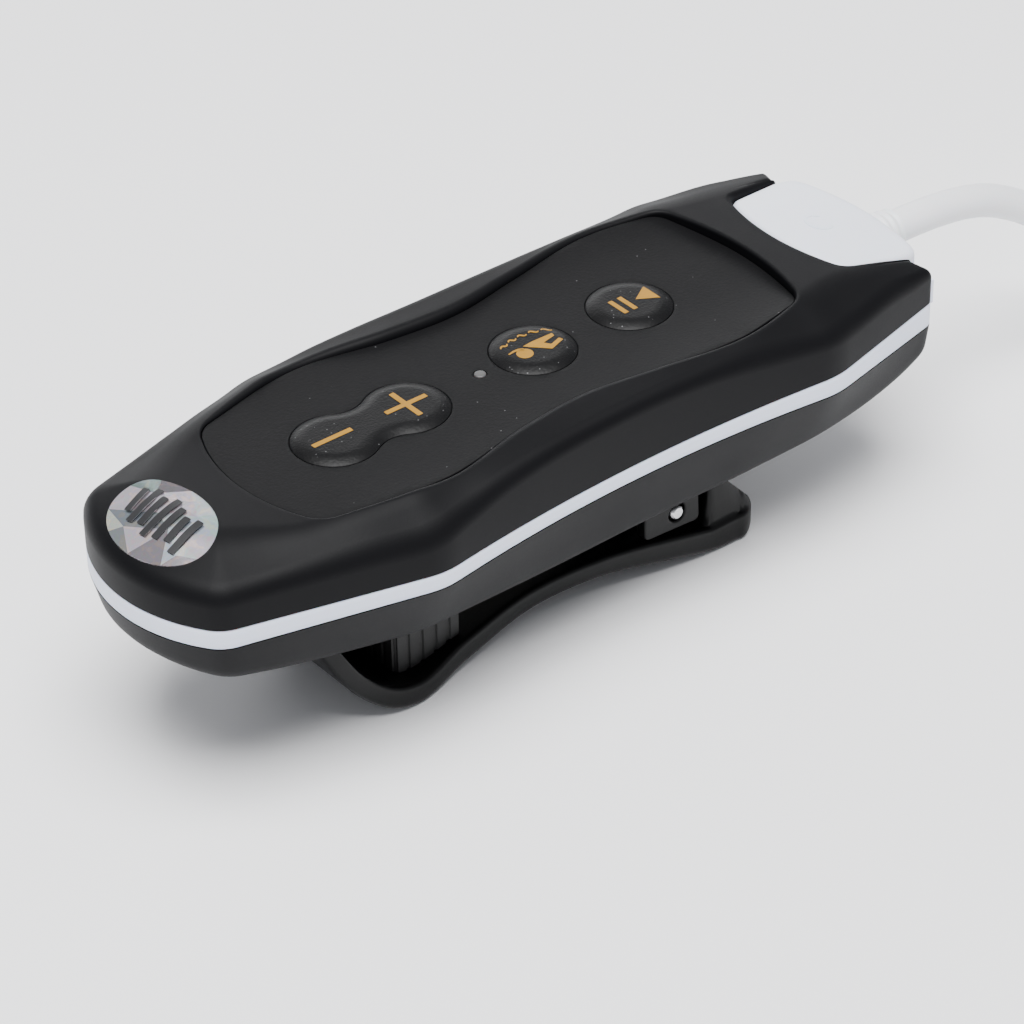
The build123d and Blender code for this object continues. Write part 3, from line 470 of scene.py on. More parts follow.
class Finish:
    """A procedural material built on one Principled shader."""

    def __init__(self, name, **sockets):
        self.material = bpy.data.materials.new(name)
        self.material.use_nodes = True
        self.tree = self.material.node_tree
        self.shader = self.tree.nodes["Principled BSDF"]
        self.coords = self.node("ShaderNodeTexCoord").outputs["Object"]
        for socket, value in sockets.items():
            self.shader.inputs[socket.replace("_", " ")].default_value = value

    def node(self, kind, settings=(), ins=()):
        return add_node(self.tree, kind, settings, ins)

    def number(self, kind, settings=(), ins=(), out=0):
        return Number(self, self.node(kind, settings, ins).outputs[out])

    def noise(self, size, detail=2.0, rough=0.5, coords=None):
        """Cloudy pattern whose features are about size millimetres."""
        ins = {"Vector": coords or self.coords, "Scale": 1 / (size * MM), "Detail": detail,
               "Roughness": rough}
        return self.number("ShaderNodeTexNoise", {}, ins)

    def cells(self, size, out="Distance", feature="F1"):
        """Cell pattern with about one cell for each size in millimetres."""
        ins = {"Vector": self.coords, "Scale": 1 / (size * MM)}
        return self.number("ShaderNodeTexVoronoi", {"feature": feature}, ins, out)

    def blend(self, share, low, high):
        """Colour between two colours."""
        made = self.node("ShaderNodeMix", {"data_type": "RGBA"}, {0: share})
        for key, value in ((6, low), (7, high)):
            set_input(self.tree, made.inputs[key], (*value, 1.0) if isinstance(value, tuple) else value)
        return made.outputs[2]

    def feed(self, socket, value):
        set_input(self.tree, self.shader.inputs[socket], value)

    def bump(self, height, depth):
        """Bump of a depth in millimetres."""
        made = self.node("ShaderNodeBump", {}, {"Height": height, "Distance": depth * MM, "Strength": 1.0})
        self.feed("Normal", made.outputs["Normal"])


CLOUD = 9.0                                      # size of the slow change of tone in mouldings
UNEVEN = 0.10                                    # change of roughness over a moulding
SPECK_SPACING, SPECK_SIZE = 0.34, 0.20           # millimetres between specks, and their share of it
SPECK_COLOUR = (0.16, 0.16, 0.165)


def moulded(name, low, high, roughness, grain=0.16, depth=0.008, speckle=0.0, shine=0.5):
    """Moulded plastic: a slow change of tone, a fine spark-eroded grain and, if asked, bright specks."""
    made = Finish(name, Specular_IOR_Level=shine)
    tone = made.noise(CLOUD, 3.0)
    fine = made.noise(grain, 2.0, 0.6)
    colour = made.blend((tone * 0.7 + fine * 0.3).clamp(), low, high)
    rough = tone * UNEVEN + fine * UNEVEN + (roughness - UNEVEN)
    if speckle:
        lucky = made.cells(SPECK_SPACING, "Color").above(1 - speckle)
        mask = made.cells(SPECK_SPACING).below(SPECK_SIZE) * lucky
        colour = made.blend(mask * 0.6, colour, SPECK_COLOUR)
        rough = rough - mask * 0.15
    made.feed("Roughness", rough)
    made.feed("Base Color", colour)
    made.bump(fine, depth)
    return made.material


housing_black = moulded("housing black", (0.0022, 0.0022, 0.0028), (0.0034, 0.0034, 0.0042), 0.50,
                        shine=0.11)
keypad_black = moulded("keypad black", (0.0024, 0.0024, 0.0028), (0.0040, 0.0040, 0.0045), 0.55,
                       grain=0.30, depth=0.024, speckle=0.08, shine=0.12)
key_black = moulded("key black", (0.0014, 0.0014, 0.0017), (0.0034, 0.0034, 0.0038), 0.42,
                    grain=0.26, depth=0.034, speckle=0.20, shine=0.15)
clip_black = moulded("clip black", (0.0016, 0.0016, 0.0017), (0.0026, 0.0026, 0.0027), 0.34,
                     grain=0.45, depth=0.010, shine=0.20)
rubber_black = moulded("soft rubber", (0.008, 0.008, 0.008), (0.014, 0.014, 0.014), 0.62, depth=0.012)
ear_rubber = moulded("ear tip rubber", (0.016, 0.016, 0.018), (0.022, 0.022, 0.024), 0.55)


def white_finish(name, low, high, roughness):
    """Smooth pale plastic that lets a little light in."""
    made = Finish(name, Subsurface_Weight=0.12, Subsurface_Scale=0.002, IOR=1.47)
    tone = made.noise(6.0, 3.0)
    fine = made.noise(0.12, 2.0)
    made.feed("Base Color", made.blend(tone, low, high))
    made.feed("Roughness", tone * 0.08 + fine * 0.06 + (roughness - 0.07))
    made.bump(fine, 0.003)
    return made.material


band_white = white_finish("band white", (0.68, 0.73, 0.87), (0.76, 0.80, 0.93), 0.40)
plug_white = white_finish("plug white", (0.74, 0.77, 0.86), (0.80, 0.83, 0.91), 0.34)
cord_white = white_finish("cord sheath", (0.78, 0.79, 0.82), (0.84, 0.85, 0.87), 0.42)


def gold_ink():
    """Slightly uneven metallic ink."""
    made = Finish("gold print", Metallic=0.35)
    tone = made.noise(1.2, 3.0)
    fine = made.noise(0.10, 2.0, 0.7)
    uneven = (tone * 0.5 + fine * 0.5).clamp()
    made.feed("Base Color", made.blend(uneven, (0.26, 0.125, 0.003), (0.46, 0.235, 0.008)))
    made.feed("Roughness", fine * 0.25 + 0.32)
    made.bump(fine, 0.006)
    return made.material


def metal(name, low, high, roughness, grain, stretch=(1, 1, 1)):
    """Metal with fine tool marks, drawn out along one direction."""
    made = Finish(name, Metallic=1.0)
    drawn = made.node("ShaderNodeMapping", {}, {"Vector": made.coords, "Scale": stretch}).outputs[0]
    marks = made.noise(grain, 3.0, 0.6, coords=drawn)
    made.feed("Base Color", made.blend(marks, low, high))
    made.feed("Roughness", marks * 0.2 + (roughness - 0.1))
    made.bump(marks, 0.004)
    return made.material


gold_print = gold_ink()
steel = metal("bright steel", (0.50, 0.50, 0.51), (0.72, 0.72, 0.73), 0.26, 0.3, (1, 6, 1))
plated = metal("gold plate", (0.80, 0.58, 0.22), (0.95, 0.74, 0.36), 0.2, 0.4, (6, 1, 1))
pouch = metal("battery foil", (0.55, 0.56, 0.58), (0.70, 0.71, 0.73), 0.42, 1.6)


def board_finish():
    """Solder mask with copper tracks showing through."""
    made = Finish("circuit board", Roughness=0.32)
    lines = made.cells(1.6, "Distance", "DISTANCE_TO_EDGE").below(0.09)
    made.feed("Base Color", made.blend(lines * 0.6, (0.008, 0.085, 0.035), (0.05, 0.22, 0.09)))
    made.bump(lines, 0.03)
    return made.material


board_green = board_finish()
chip_black = moulded("chip epoxy", (0.012, 0.012, 0.013), (0.02, 0.02, 0.022), 0.45, grain=0.1)
chip_tan = moulded("ceramic chips", (0.30, 0.20, 0.11), (0.45, 0.33, 0.20), 0.4, grain=0.1)
foam_grey = moulded("foam pad", (0.10, 0.10, 0.11), (0.17, 0.17, 0.18), 0.85, grain=0.25, depth=0.08)
lens_milk = white_finish("milky lens", (0.055, 0.055, 0.055), (0.085, 0.085, 0.085), 0.40)


def foil_finish():
    """Holographic foil: each pressed facet carries its own pale colour times a painted brightness that
    stands in for the light it reflects, under a slow rainbow shift.
    """
    made = Finish("holographic foil", Metallic=0.9)
    facet = made.node("ShaderNodeAttribute", {"attribute_name": "facet"}).outputs["Color"]
    ripple = made.noise(0.8, 2.0)
    rainbow = made.node("ShaderNodeValToRGB", {}, {"Fac": ripple})
    ramp = rainbow.color_ramp
    stops = ((0.30, (0.95, 0.75, 0.85)), (0.42, (0.70, 0.95, 0.85)), (0.52, (0.75, 0.80, 1.0)),
             (0.62, (1.0, 0.95, 0.70)), (0.72, (0.95, 0.95, 0.98)))
    while len(ramp.elements) < len(stops):
        ramp.elements.new(0.5)
    for element, (at, colour) in zip(ramp.elements, stops):
        element.position = at
        element.color = (*colour, 1)
    mixed = made.node("ShaderNodeMix", {"data_type": "RGBA", "blend_type": "MULTIPLY"},
                      {0: 0.55, 6: facet, 7: rainbow.outputs[0]})
    made.feed("Base Color", mixed.outputs[2])
    made.feed("Roughness", ripple * 0.1 + 0.14)
    return made.material


foil = foil_finish()
print_black = moulded("black print", (0.008, 0.008, 0.009), (0.014, 0.014, 0.016), 0.4)

# ---------------- camera

CAMERA_TURN, CAMERA_RISE, CAMERA_ROLL = -0.664, 0.619, -0.022
CAMERA_AWAY = 378.85
CAMERA_SHIFT = (-0.194, -7.765)
CAMERA_LENS = 144.02


def make_camera():
    """Camera at its turn, rise and roll round the player, all distances in millimetres until the end."""
    level_part = math.cos(CAMERA_RISE)
    back = Vector((math.sin(CAMERA_TURN) * level_part, -math.cos(CAMERA_TURN) * level_part,
                   math.sin(CAMERA_RISE)))
    right = Vector((math.cos(CAMERA_TURN), math.sin(CAMERA_TURN), 0))
    up = back.cross(right)
    across = math.cos(CAMERA_ROLL) * right + math.sin(CAMERA_ROLL) * up
    upward = math.cos(CAMERA_ROLL) * up - math.sin(CAMERA_ROLL) * right
    at = back * CAMERA_AWAY + across * CAMERA_SHIFT[0] + upward * CAMERA_SHIFT[1] + Vector((0, 0, PARTING))
    data = bpy.data.cameras.new("camera")
    data.lens = CAMERA_LENS
    data.sensor_width = 36
    data.clip_start = 0.01
    data.clip_end = 10
    camera = bpy.data.objects.new("camera", data)
    bpy.context.scene.collection.objects.link(camera)
    turn = Matrix((across, upward, back)).transposed().to_4x4()
    camera.matrix_world = Matrix.Translation(at * MM) @ turn
    bpy.context.scene.camera = camera


make_camera()

# ---------------- cords, in metres

LEAD_D, BRANCH_D = 0.0034, 0.0024
LEAD_ROUTE = [(0.0475, 0.0, 0.0207), (0.0565, 0.0, 0.0207), (0.0650, -0.0006, 0.0170),
              (0.0716, -0.0030, 0.0112), (0.0784, -0.0072, 0.0064), (0.0855, -0.0111, 0.0035),
              (0.0931, -0.0133, 0.00215)]
LEAD_HANK_X = (0.0948, 0.1168)
LEAD_HANK_R = (0.0135, 0.01005)
LEAD_HEIGHTS = (0.00204, 0.00544)
TAIL_ROUTE = [(0.1228, -0.0132, 0.00544), (0.1286, -0.0103, 0.00524), (0.1336, -0.0056, 0.0041),
              (0.1384, -0.0019, 0.0029), (0.1438, -0.0004, 0.00224)]
SPLITTER_END = (0.1538, -0.0004)
BRANCH_OUT = 0.0016
BRANCH_ROUTE = [(0.1576, 0.0016, 0.00154), (0.1614, 0.0015, 0.00154), (0.1650, 0.00132, 0.00154)]
BRANCH_HANK_X = (0.1664, 0.1844)
BRANCH_HANK_Y = 0.00762
BRANCH_HANK_R = 0.0063
BRANCH_HEIGHTS = (0.00154, 0.00394, 0.00634)
BUD_ROUTE = [(0.1868, 0.00132, 0.00634), (0.1904, 0.0018, 0.0052), (0.1933, 0.0037, 0.0036)]
BUD_AT = (0.1968, 0.00712)
LEAD_TURNS, BRANCH_TURNS = 3.125, 2.125          # turns of each hank; the part turn leads to its way out
RUN_STEPS, LOOP_STEPS = 3, 9                     # points on a hank's straight run and on its end loop

# radius and height of the turned pieces, in millimetres
RELIEF_R, RELIEF_TAPER, RELIEF_END_R = 2.38, 0.42, 1.74
RELIEF_RIBS, RIB_PROUD = 4, 0.10
BUD_SHELL = ((0, 0.1), (3.4, 0.1), (4.2, 0.5), (4.7, 1.4), (4.8, 2.4), (4.6, 3.6), (4.0, 4.8), (3.1, 5.8),
             (2.5, 6.5), (2.3, 7.2), (2.3, 8.4), (0, 8.4))
BUD_TIP = ((2.35, 7.2), (2.6, 6.6), (3.6, 6.2), (4.4, 6.4), (4.75, 7.0), (4.6, 8.0), (4.0, 9.3),
           (3.1, 10.4), (2.2, 11.0), (1.5, 11.1), (1.3, 10.8), (1.2, 9.6), (1.2, 8.5), (2.33, 8.45))
BUD_RING = ((4.72, 1.55), (4.9, 1.65), (4.95, 1.9), (4.9, 2.15), (4.74, 2.25))


def eased(t, keys):
    """Value at t between keyed values, easing from each to the next."""
    for (t0, v0), (t1, v1) in zip(keys, keys[1:]):
        if t <= t1:
            s = min(1.0, max(0.0, (t - t0) / (t1 - t0)))
            return v0 + (v1 - v0) * s * s * (3 - 2 * s)
    return keys[-1][1]


def folded(xs, middle_y, turns, radii, heights):
    """Points of a hank's turns: a straight run, an end loop, the run back and the other end loop."""
    x1, x2 = xs
    per_turn = 2 * (RUN_STEPS + LOOP_STEPS)
    points = []
    for i in range(round(turns * per_turn) + 1):
        t, k = i / per_turn, i % per_turn
        r = eased(t, radii)
        far, k = k >= per_turn // 2, k % (per_turn // 2)
        if k < RUN_STEPS:
            along = (x2 - x1) * k / RUN_STEPS
            x, y = (x2 - along, r) if far else (x1 + along, -r)
        else:
            angle = math.pi * (k - RUN_STEPS) / LOOP_STEPS + (math.pi / 2 if far else -math.pi / 2)
            x, y = (x1 if far else x2) + r * math.cos(angle), r * math.sin(angle)
        points.append((x, middle_y + y, eased(t, heights)))
    return points


def cord_curve(name, points, diameter, finish):
    """Round cord along one smooth curve."""
    data = bpy.data.curves.new(name, "CURVE")
    data.dimensions = "3D"
    data.bevel_depth = diameter / 2
    data.bevel_resolution = 6
    data.use_fill_caps = True
    data.resolution_u = 6
    spline = data.splines.new("NURBS")
    spline.points.add(len(points) - 1)
    for point, at in zip(spline.points, points):
        point.co = (*at, 1.0)
    spline.order_u = 3
    spline.use_endpoint_u = True
    data.materials.append(finish)
    obj = bpy.data.objects.new(name, data)
    bpy.context.scene.collection.objects.link(obj)
    return obj


def make_lead():
    out, inn = LEAD_HANK_R
    low, high = LEAD_HEIGHTS
    radii = [(0, out), (0.60, out), (0.78, inn), (2.32, inn), (2.5, out)]
    heights = [(0, low), (1.42, low), (1.62, high)]
    hank = folded(LEAD_HANK_X, 0, LEAD_TURNS, radii, heights)
    return cord_curve("lead", LEAD_ROUTE + hank + TAIL_ROUTE, LEAD_D, cord_white)


def make_branch(name, side):
    low, middle, high = BRANCH_HEIGHTS
    heights = [(0, low), (0.42, low), (0.78, middle), (1.42, middle), (1.78, high)]
    radii = [(0, BRANCH_HANK_R), (3, BRANCH_HANK_R)]
    hank = folded(BRANCH_HANK_X, BRANCH_HANK_Y, BRANCH_TURNS, radii, heights)
    start = (SPLITTER_END[0], side * SPLITTER_END[1] + BRANCH_OUT, low)
    points = [(x, side * y, z) for x, y, z in [start, *BRANCH_ROUTE, *hank, *BUD_ROUTE]]
    return cord_curve(name, points, BRANCH_D, cord_white)


def make_relief():
    """Tapered strain relief with flex ribs, where the lead leaves the plug."""
    low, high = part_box("cord_relief")
    start, end = low.x / MM, high.x / MM
    axis_z = (low.z + high.z) / 2 / MM - PARTING
    profile = [(0.0, start - 0.3), (RELIEF_R, start - 0.3)]
    steps = RELIEF_RIBS * 8
    for i in range(steps + 1):
        t = i / steps
        wave = RIB_PROUD * math.cos(2 * math.pi * RELIEF_RIBS * t)
        profile.append((RELIEF_R - RELIEF_TAPER * t + wave, start + (end - start) * t))
    profile += [(RELIEF_END_R, end + 0.05), (0.0, end + 0.05)]
    return lathe("relief_sleeve", profile, (0, 0, axis_z), cord_white, "X", stands_for=["cord_relief"],
                 slot="cord_white")


def make_splitter():
    """Rounded oblong moulding, slightly wider on its far side, where the lead divides."""
    low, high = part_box("splitter")
    middle = (low + high) / 2 / MM
    half, wide = (high.x - low.x) / 2 / MM, (high.y - low.y) / 2 / MM
    outline = []
    for a in np.linspace(0, 2 * math.pi, 120, endpoint=False):
        along, across = math.cos(a), math.sin(a)
        flare = 0.86 + 0.14 * along
        outline.append((middle.x + half * math.copysign(abs(along) ** 0.55, along),
                        middle.y + wide * flare * math.copysign(abs(across) ** 0.6, across)))
    top, bottom = high.z / MM - PARTING, low.z / MM - PARTING
    return plate("splitter_shell", spaced(np.array(outline), 0.35), plug_white, level(top), level(bottom),
                 step=0.6, round_top=1.5, round_low=0.5, stands_for=["splitter"], slot="white_plastic")


def make_bud(name, side):
    """Earbud that stands on its back: white shell, trim ring and a black ear tip."""
    at = (BUD_AT[0] / MM, side * BUD_AT[1] / MM, -PARTING)
    shell = lathe(f"{name}_shell", BUD_SHELL, at, plug_white, stands_for=[f"{name}_bud"],
                  slot="white_plastic", sharp=50)
    tip = lathe(f"{name}_ear_tip", BUD_TIP, at, ear_rubber, slot="ear_rubber")
    ring = lathe(f"{name}_trim_ring", BUD_RING, at, steel, slot="steel")
    return [shell, tip, ring]


lead = make_lead()
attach(lead, "root")
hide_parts("lead_run", "lead_hank", "lead_tail")
relief = make_relief()
splitter = make_splitter()
for side_name, side_sign in (("left", 1), ("right", -1)):
    branch = make_branch(f"{side_name}_cord", side_sign)
    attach(branch, "root")
    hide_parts(f"{side_name}_branch", f"{side_name}_hank", f"{side_name}_bud_cord")
    bud_pieces = make_bud(side_name, side_sign)
    if side_sign > 0:
        bud_pieces.append(nodes["branch_tie"])

# ---------------- outlines

WAIST_ARC = arc(UPPER_WIDE, WAIST, LOWER_WIDE)
END_ARC = to_axis(TAPER_END, END_X, 40)
PLUG_END_COUNT = 20                              # points on the plug end's straight edge
SIDE_COUNTS = [34, 90, 42, 40]                   # points on the stretches of a side, from the shoulder on
SIDE_START = 22                                  # first point of the side, within the shoulder's corner


def plan_half(shoulder, upper, waist, lower, taper, end_x):
    """+Y half of a plan, from the middle of the plug end to the sticker end's tip."""
    stretches = chain((shoulder[0], 0), shoulder, upper) + [arc(upper, waist, lower)]
    stretches += chain(lower, taper) + [to_axis(taper, end_x, 40)]
    return rounded_path(stretches, CORNER_REACH, [PLUG_END_COUNT] + SIDE_COUNTS)


HOUSING_HALF = plan_half(SHOULDER, UPPER_WIDE, WAIST, LOWER_WIDE, TAPER_END, END_X)
HOUSING = both_sides(HOUSING_HALF)
BEYOND = (60.0, 8.2)                             # where the sides are carried on to, past the plug end
SIDES = np.concatenate([[BEYOND], HOUSING_HALF[SIDE_START:], (HOUSING_HALF[SIDE_START:-1] * (1, -1))[::-1],
                        [(BEYOND[0], -BEYOND[1])]])


def cover_half():
    """+Y half of the front cover's plan, round the plug bay and the prong beside it."""
    root = from_axis(NOTCH[0], NOTCH_ROOT_X)
    tip_inner, tip_outer = (40.7, 9.4), (41.7, SHOULDER[1] + 0.04)
    stretches = [root, *chain(*NOTCH, tip_inner, tip_outer, UPPER_WIDE), WAIST_ARC]
    stretches += chain(LOWER_WIDE, TAPER_END) + [END_ARC]
    reaches = [1.1, 0.2, 0.35, 0.9, *CORNER_REACH[1:]]
    return rounded_path(stretches, reaches, [20, 24, 3, 8] + SIDE_COUNTS)


COVER_HALF = cover_half()
COVER = both_sides(COVER_HALF)


def recess_half():
    xs = np.linspace(RECESS_SIDE[0][0], RECESS_SIDE[-1][0], 140)
    side = np.stack([xs, curve(xs, RECESS_SIDE[::-1])], 1)
    stretches = [from_axis(RECESS_SIDE[0], RECESS_PLUG_X), side, to_axis(RECESS_SIDE[-1], RECESS_END_X)]
    return rounded_path(stretches, [1.5, 1.5], [30, 140, 40], 10)


RECESS_HALF = recess_half()
RECESS = both_sides(RECESS_HALF)


MATCH_X = (18.0, 8.0, 0.5, -6.5, -16.0, -24.0, -28.8)    # where the two outlines are tied together


def matching_recess():
    """A point of the recess's edge for each point of the cover's outline."""
    outline_run, recess_run = lengths(COVER_HALF), lengths(RECESS_HALF)
    root_corner = int(np.argmin(np.linalg.norm(COVER_HALF - NOTCH[0], axis=1)))
    wide = int(np.argmin(np.linalg.norm(COVER_HALF - UPPER_WIDE, axis=1)))
    pairs = [(0, 0), (outline_run[root_corner], recess_run[np.argmin(np.abs(RECESS_HALF[:40, 1] - 8.2))]),
             (outline_run[wide], recess_run[np.argmin(np.linalg.norm(RECESS_HALF - (25.4, 10.4), axis=1))])]
    for x in MATCH_X:
        o = np.argmin(np.abs(COVER_HALF[wide:, 0] - x)) + wide
        r = np.argmin(np.abs(RECESS_HALF[35:, 0] - x)) + 35
        pairs.append((outline_run[o], recess_run[r]))
    pairs.append((outline_run[-1], recess_run[-1]))
    wanted = np.interp(outline_run, [p[0] for p in pairs], [p[1] for p in pairs])
    return both_sides(at_lengths(RECESS_HALF, wanted))


# ---------------- front cover


def soft_ramp(t, soften=0.30):
    """0 to 1, straight, with a rounded knee at the top."""
    knee = 1 - (1 - t + soften) ** 2 / (4 * soften)
    return np.where(t < 1 - soften, t, np.where(t > 1 + soften, 1.0, knee))


def crowned(x, y):
    """Full height of the front cover's upper surface, before its edges are rounded."""
    gap = away(np.stack([x, y], 1), SIDES, closed=False)[0]
    edge = curve(x, EDGE_HEIGHT)
    crest = curve(x, CREST_HEIGHT)
    ramp = soft_ramp(gap / curve(x, CREST_REACH))
    arch = 0.28 * np.clip((-30 - x) / 6, 0, 1) * (1 - np.clip(np.abs(y) / 10, 0, 1) ** 2)
    return edge + (crest - edge) * ramp + arch


def edge_radius(x, y):
    """Rounding of the cover's outer edge: small round the plug bay, full along the sides."""
    bay = (x > 31) & (np.abs(y) < 9.7)
    tip = np.clip((x - 38.5) / 3, 0, 1)
    return np.where(bay, 0.55, 1.35 - 0.5 * tip)


def lip_radius(x):
    """Rounding of the recess's lip, which fades where the panel meets the sticker end."""
    return curve(x, ((-31.5, 0.14), (-29.5, 0.16), (-26.0, 0.5), (-20.0, 0.75), (10.0, 0.75), (24.0, 0.6),
                     (26.5, 0.35), (28.0, 0.3)))


RECESS_FLOOR = 6.4
COVER_INNER = 4.8
COVER_WALL = 1.5
SEAM = 0.02                                      # hairline between two housing pieces
EDGE_ANGLES = (0, 12, 24, 36, 48, 60, 74, 90)
ROWS_ACROSS = 26
UNDERCUT = (0.8, 0.8)                            # inner edge: share of the way to the lip, and its depth


def make_front_cover():
    lip = matching_recess()
    run = lip - COVER
    total = np.linalg.norm(run, axis=1)[:, None]
    ahead = run / total
    outer_r = edge_radius(COVER[:, 0], COVER[:, 1])[:, None]
    lip_r = lip_radius(lip[:, 0])[:, None]
    steps = np.radians(EDGE_ANGLES)
    stops = [outer_r * (1 - math.cos(a)) for a in steps]
    stops += [outer_r + (total - outer_r - lip_r) * (k / ROWS_ACROSS) for k in range(1, ROWS_ACROSS)]
    stops += [total - lip_r * (1 - math.cos(a)) for a in steps[::-1]]
    rows = [with_height(COVER, curve(COVER[:, 0], FRAME_TOP) + SEAM)]
    for k, stop in enumerate(stops):
        flat = COVER + ahead * stop
        height = crowned(flat[:, 0], flat[:, 1])
        gap = away(flat, COVER)[0]
        height -= drop(gap, edge_radius(COVER[:, 0], COVER[:, 1]))
        if k > len(steps):
            height -= drop(away(flat, RECESS)[0], lip_r[:, 0])
        rows.append(with_height(flat, height))
    rows.append(with_height(lip, RECESS_FLOOR))
    inward = COVER + ahead * np.minimum(COVER_WALL, total * 0.4)
    rows.append(with_height(COVER + ahead * total * UNDERCUT[0], RECESS_FLOOR - UNDERCUT[1]))
    rows.append(with_height(inward, COVER_INNER))
    rows.append(with_height(inward, curve(inward[:, 0], FRAME_TOP) + SEAM))
    points, faces = skin(rows, wrap=True)
    return piece("front_shell", points, faces, housing_black, stands_for=["front_cover"],
                 slot="black_plastic", sharp=38)


# ---------------- band and back cover

BAND_WALL = 2.4
BAND_EDGE = 0.10                                 # small bevel on the band's outer edges
BAND_START = 12                                  # first point of the outline that the band follows


def make_band():
    """White frame between the covers, open across the plug bay."""
    half = HOUSING_HALF[BAND_START:]
    path = np.concatenate([half, (half[:-1] * (1, -1))[::-1]])
    path[0] = (SHOULDER[0], NOTCH[1][1] + 0.05)
    path[-1] = path[0] * (1, -1)
    normal = left_of(np.gradient(path, axis=0))
    inner = path + normal * BAND_WALL
    edge = path + normal * BAND_EDGE
    top = curve(path[:, 0], FRAME_TOP)
    rows = [with_height(inner, SEAM), with_height(edge, SEAM), with_height(path, SEAM + BAND_EDGE)]
    wall = top - 2 * SEAM - 2 * BAND_EDGE
    rows += [with_height(path, SEAM + BAND_EDGE + wall * t) for t in (0.33, 0.66)]
    rows += [with_height(path, top - SEAM - BAND_EDGE), with_height(edge, top - SEAM),
             with_height(inner, top - SEAM)]
    points, faces = skin(rows, closed=False, wrap=True)
    count, layers = len(path), len(rows)
    faces += [tuple(r * count for r in range(layers)), tuple(r * count + count - 1 for r in range(layers))]
    return piece("band", points, faces, band_white, stands_for=["mid_frame"], slot="white_plastic",
                 sharp=50)


BELLY_WALL, KEEL_WALL = 1.2, 1.5
SPINE_X = (-37.5, 36.0)                          # the belly's rows end on this part of the X axis
ROUND_UP, ROUND_IN = 1.5, 1.7                    # rounding of the lower edge: up the flank, into the belly


def on_belly(flat, above=0.0):
    return np.column_stack([flat, curve(flat[:, 0], BELLY) + above])


def make_back_cover():
    """Back cover: flank facets from the parting plane to rounded lower edges, and a curved belly."""
    top = HOUSING
    foot = both_sides(plan_half(KEEL[0], KEEL[1], KEEL_WAIST, KEEL[2], KEEL[3], KEEL_END_X))
    share = np.full(len(top), 0.9)
    for _ in range(12):
        x = top[:, 0] + (foot[:, 0] - top[:, 0]) * share
        share = curve(x, BELLY) / KEEL_DEEP
    edge = top + (foot - top) * share[:, None]
    corner = on_belly(edge)
    spine = np.stack([np.clip(edge[:, 0], *SPINE_X), np.zeros(len(edge))], 1)
    facet = corner - with_height(top, 0)
    facet_length = np.linalg.norm(facet, axis=1)[:, None]
    inward = spine - edge
    inward_length = np.linalg.norm(inward, axis=1)[:, None]
    round_up = np.minimum(ROUND_UP, facet_length * 0.45)
    round_in = np.minimum(ROUND_IN, inward_length * 0.4)
    start = with_height(top, -SEAM)
    high = corner - facet / facet_length * round_up
    rows = [start] + [start + (high - start) * t for t in (0.01, 0.25, 0.5, 0.75, 1.0)]
    low_flat = edge + inward / inward_length * round_in
    low = on_belly(low_flat)
    for t in np.linspace(0, 1, 9)[1:]:
        rows.append((1 - t) ** 2 * high + 2 * t * (1 - t) * corner + t ** 2 * low)
    for t in np.linspace(0, 1, 13)[1:]:
        rows.append(on_belly(low_flat + (spine - low_flat) * t))
    inner = [rows[-1] + (0, 0, BELLY_WALL), on_belly(low_flat + (spine - low_flat) * 0.05, BELLY_WALL)]
    narrow = top + (spine - top) / np.linalg.norm(spine - top, axis=1)[:, None] * KEEL_WALL
    inner.append(with_height(narrow, -SEAM))
    points, faces = skin(rows + inner, wrap=True)
    return piece("back_shell", points, faces, housing_black, stands_for=["back_cover"],
                 slot="black_plastic", sharp=38)


# ---------------- keypad


def panel_height(x, y):
    """Dished keypad panel, rising to its sides."""
    half = straight(x, RECESS_SIDE[::-1])
    return PANEL_HEIGHT + curve(x, PANEL_RISE) * np.clip(np.abs(y) / half, 0, 1) ** 3


def peanut():
    """Plan of the volume key: two round ends with a waist between them."""
    middle, half = (PLUS_X + MINUS_X) / 2, (PLUS_X - MINUS_X) / 2
    radius, waist = KEY_R, VOLUME_WAIST
    waist_r = (waist ** 2 + half ** 2 - radius ** 2) / (2 * (radius - waist))
    share = radius / (radius + waist_r)
    dx, dy = half * share, (waist + waist_r) * share
    parts = [arc((PLUS_X - dx, -dy), (PLUS_X + radius, 0), (PLUS_X - dx, dy), 70),
             arc((PLUS_X - dx, dy), (middle, waist), (MINUS_X + dx, dy), 30),
             arc((MINUS_X + dx, dy), (MINUS_X - radius, 0), (MINUS_X + dx, -dy), 70),
             arc((MINUS_X + dx, -dy), (middle, -waist), (PLUS_X - dx, -dy), 30)]
    return spaced(np.concatenate([p[:-1] for p in parts]), 0.22)


KEY_GAP = 0.035                                  # between a key and the edge of its hole
DOME_REACH = 1.5                                 # from a key's edge to its full height
SUNK = 0.03                                      # a key's edge below the panel
LENS_R = 0.58


def dome_height(outline):
    """Height of a key's soft dome over the panel it sits in."""
    def height(x, y):
        t = np.clip(away(np.stack([x, y], 1), outline)[0] / DOME_REACH, 0, 1)
        return panel_height(x, y) + KEY_RISE * np.sin(t * math.pi / 2) ** 0.9 - SUNK
    return height


KEYS = {"play": (circle(PLAY_X, 0, KEY_R), "play_button"), "mode": (circle(MODE_X, 0, KEY_R),
        "mode_button"), "volume": (peanut(), "volume_rocker")}


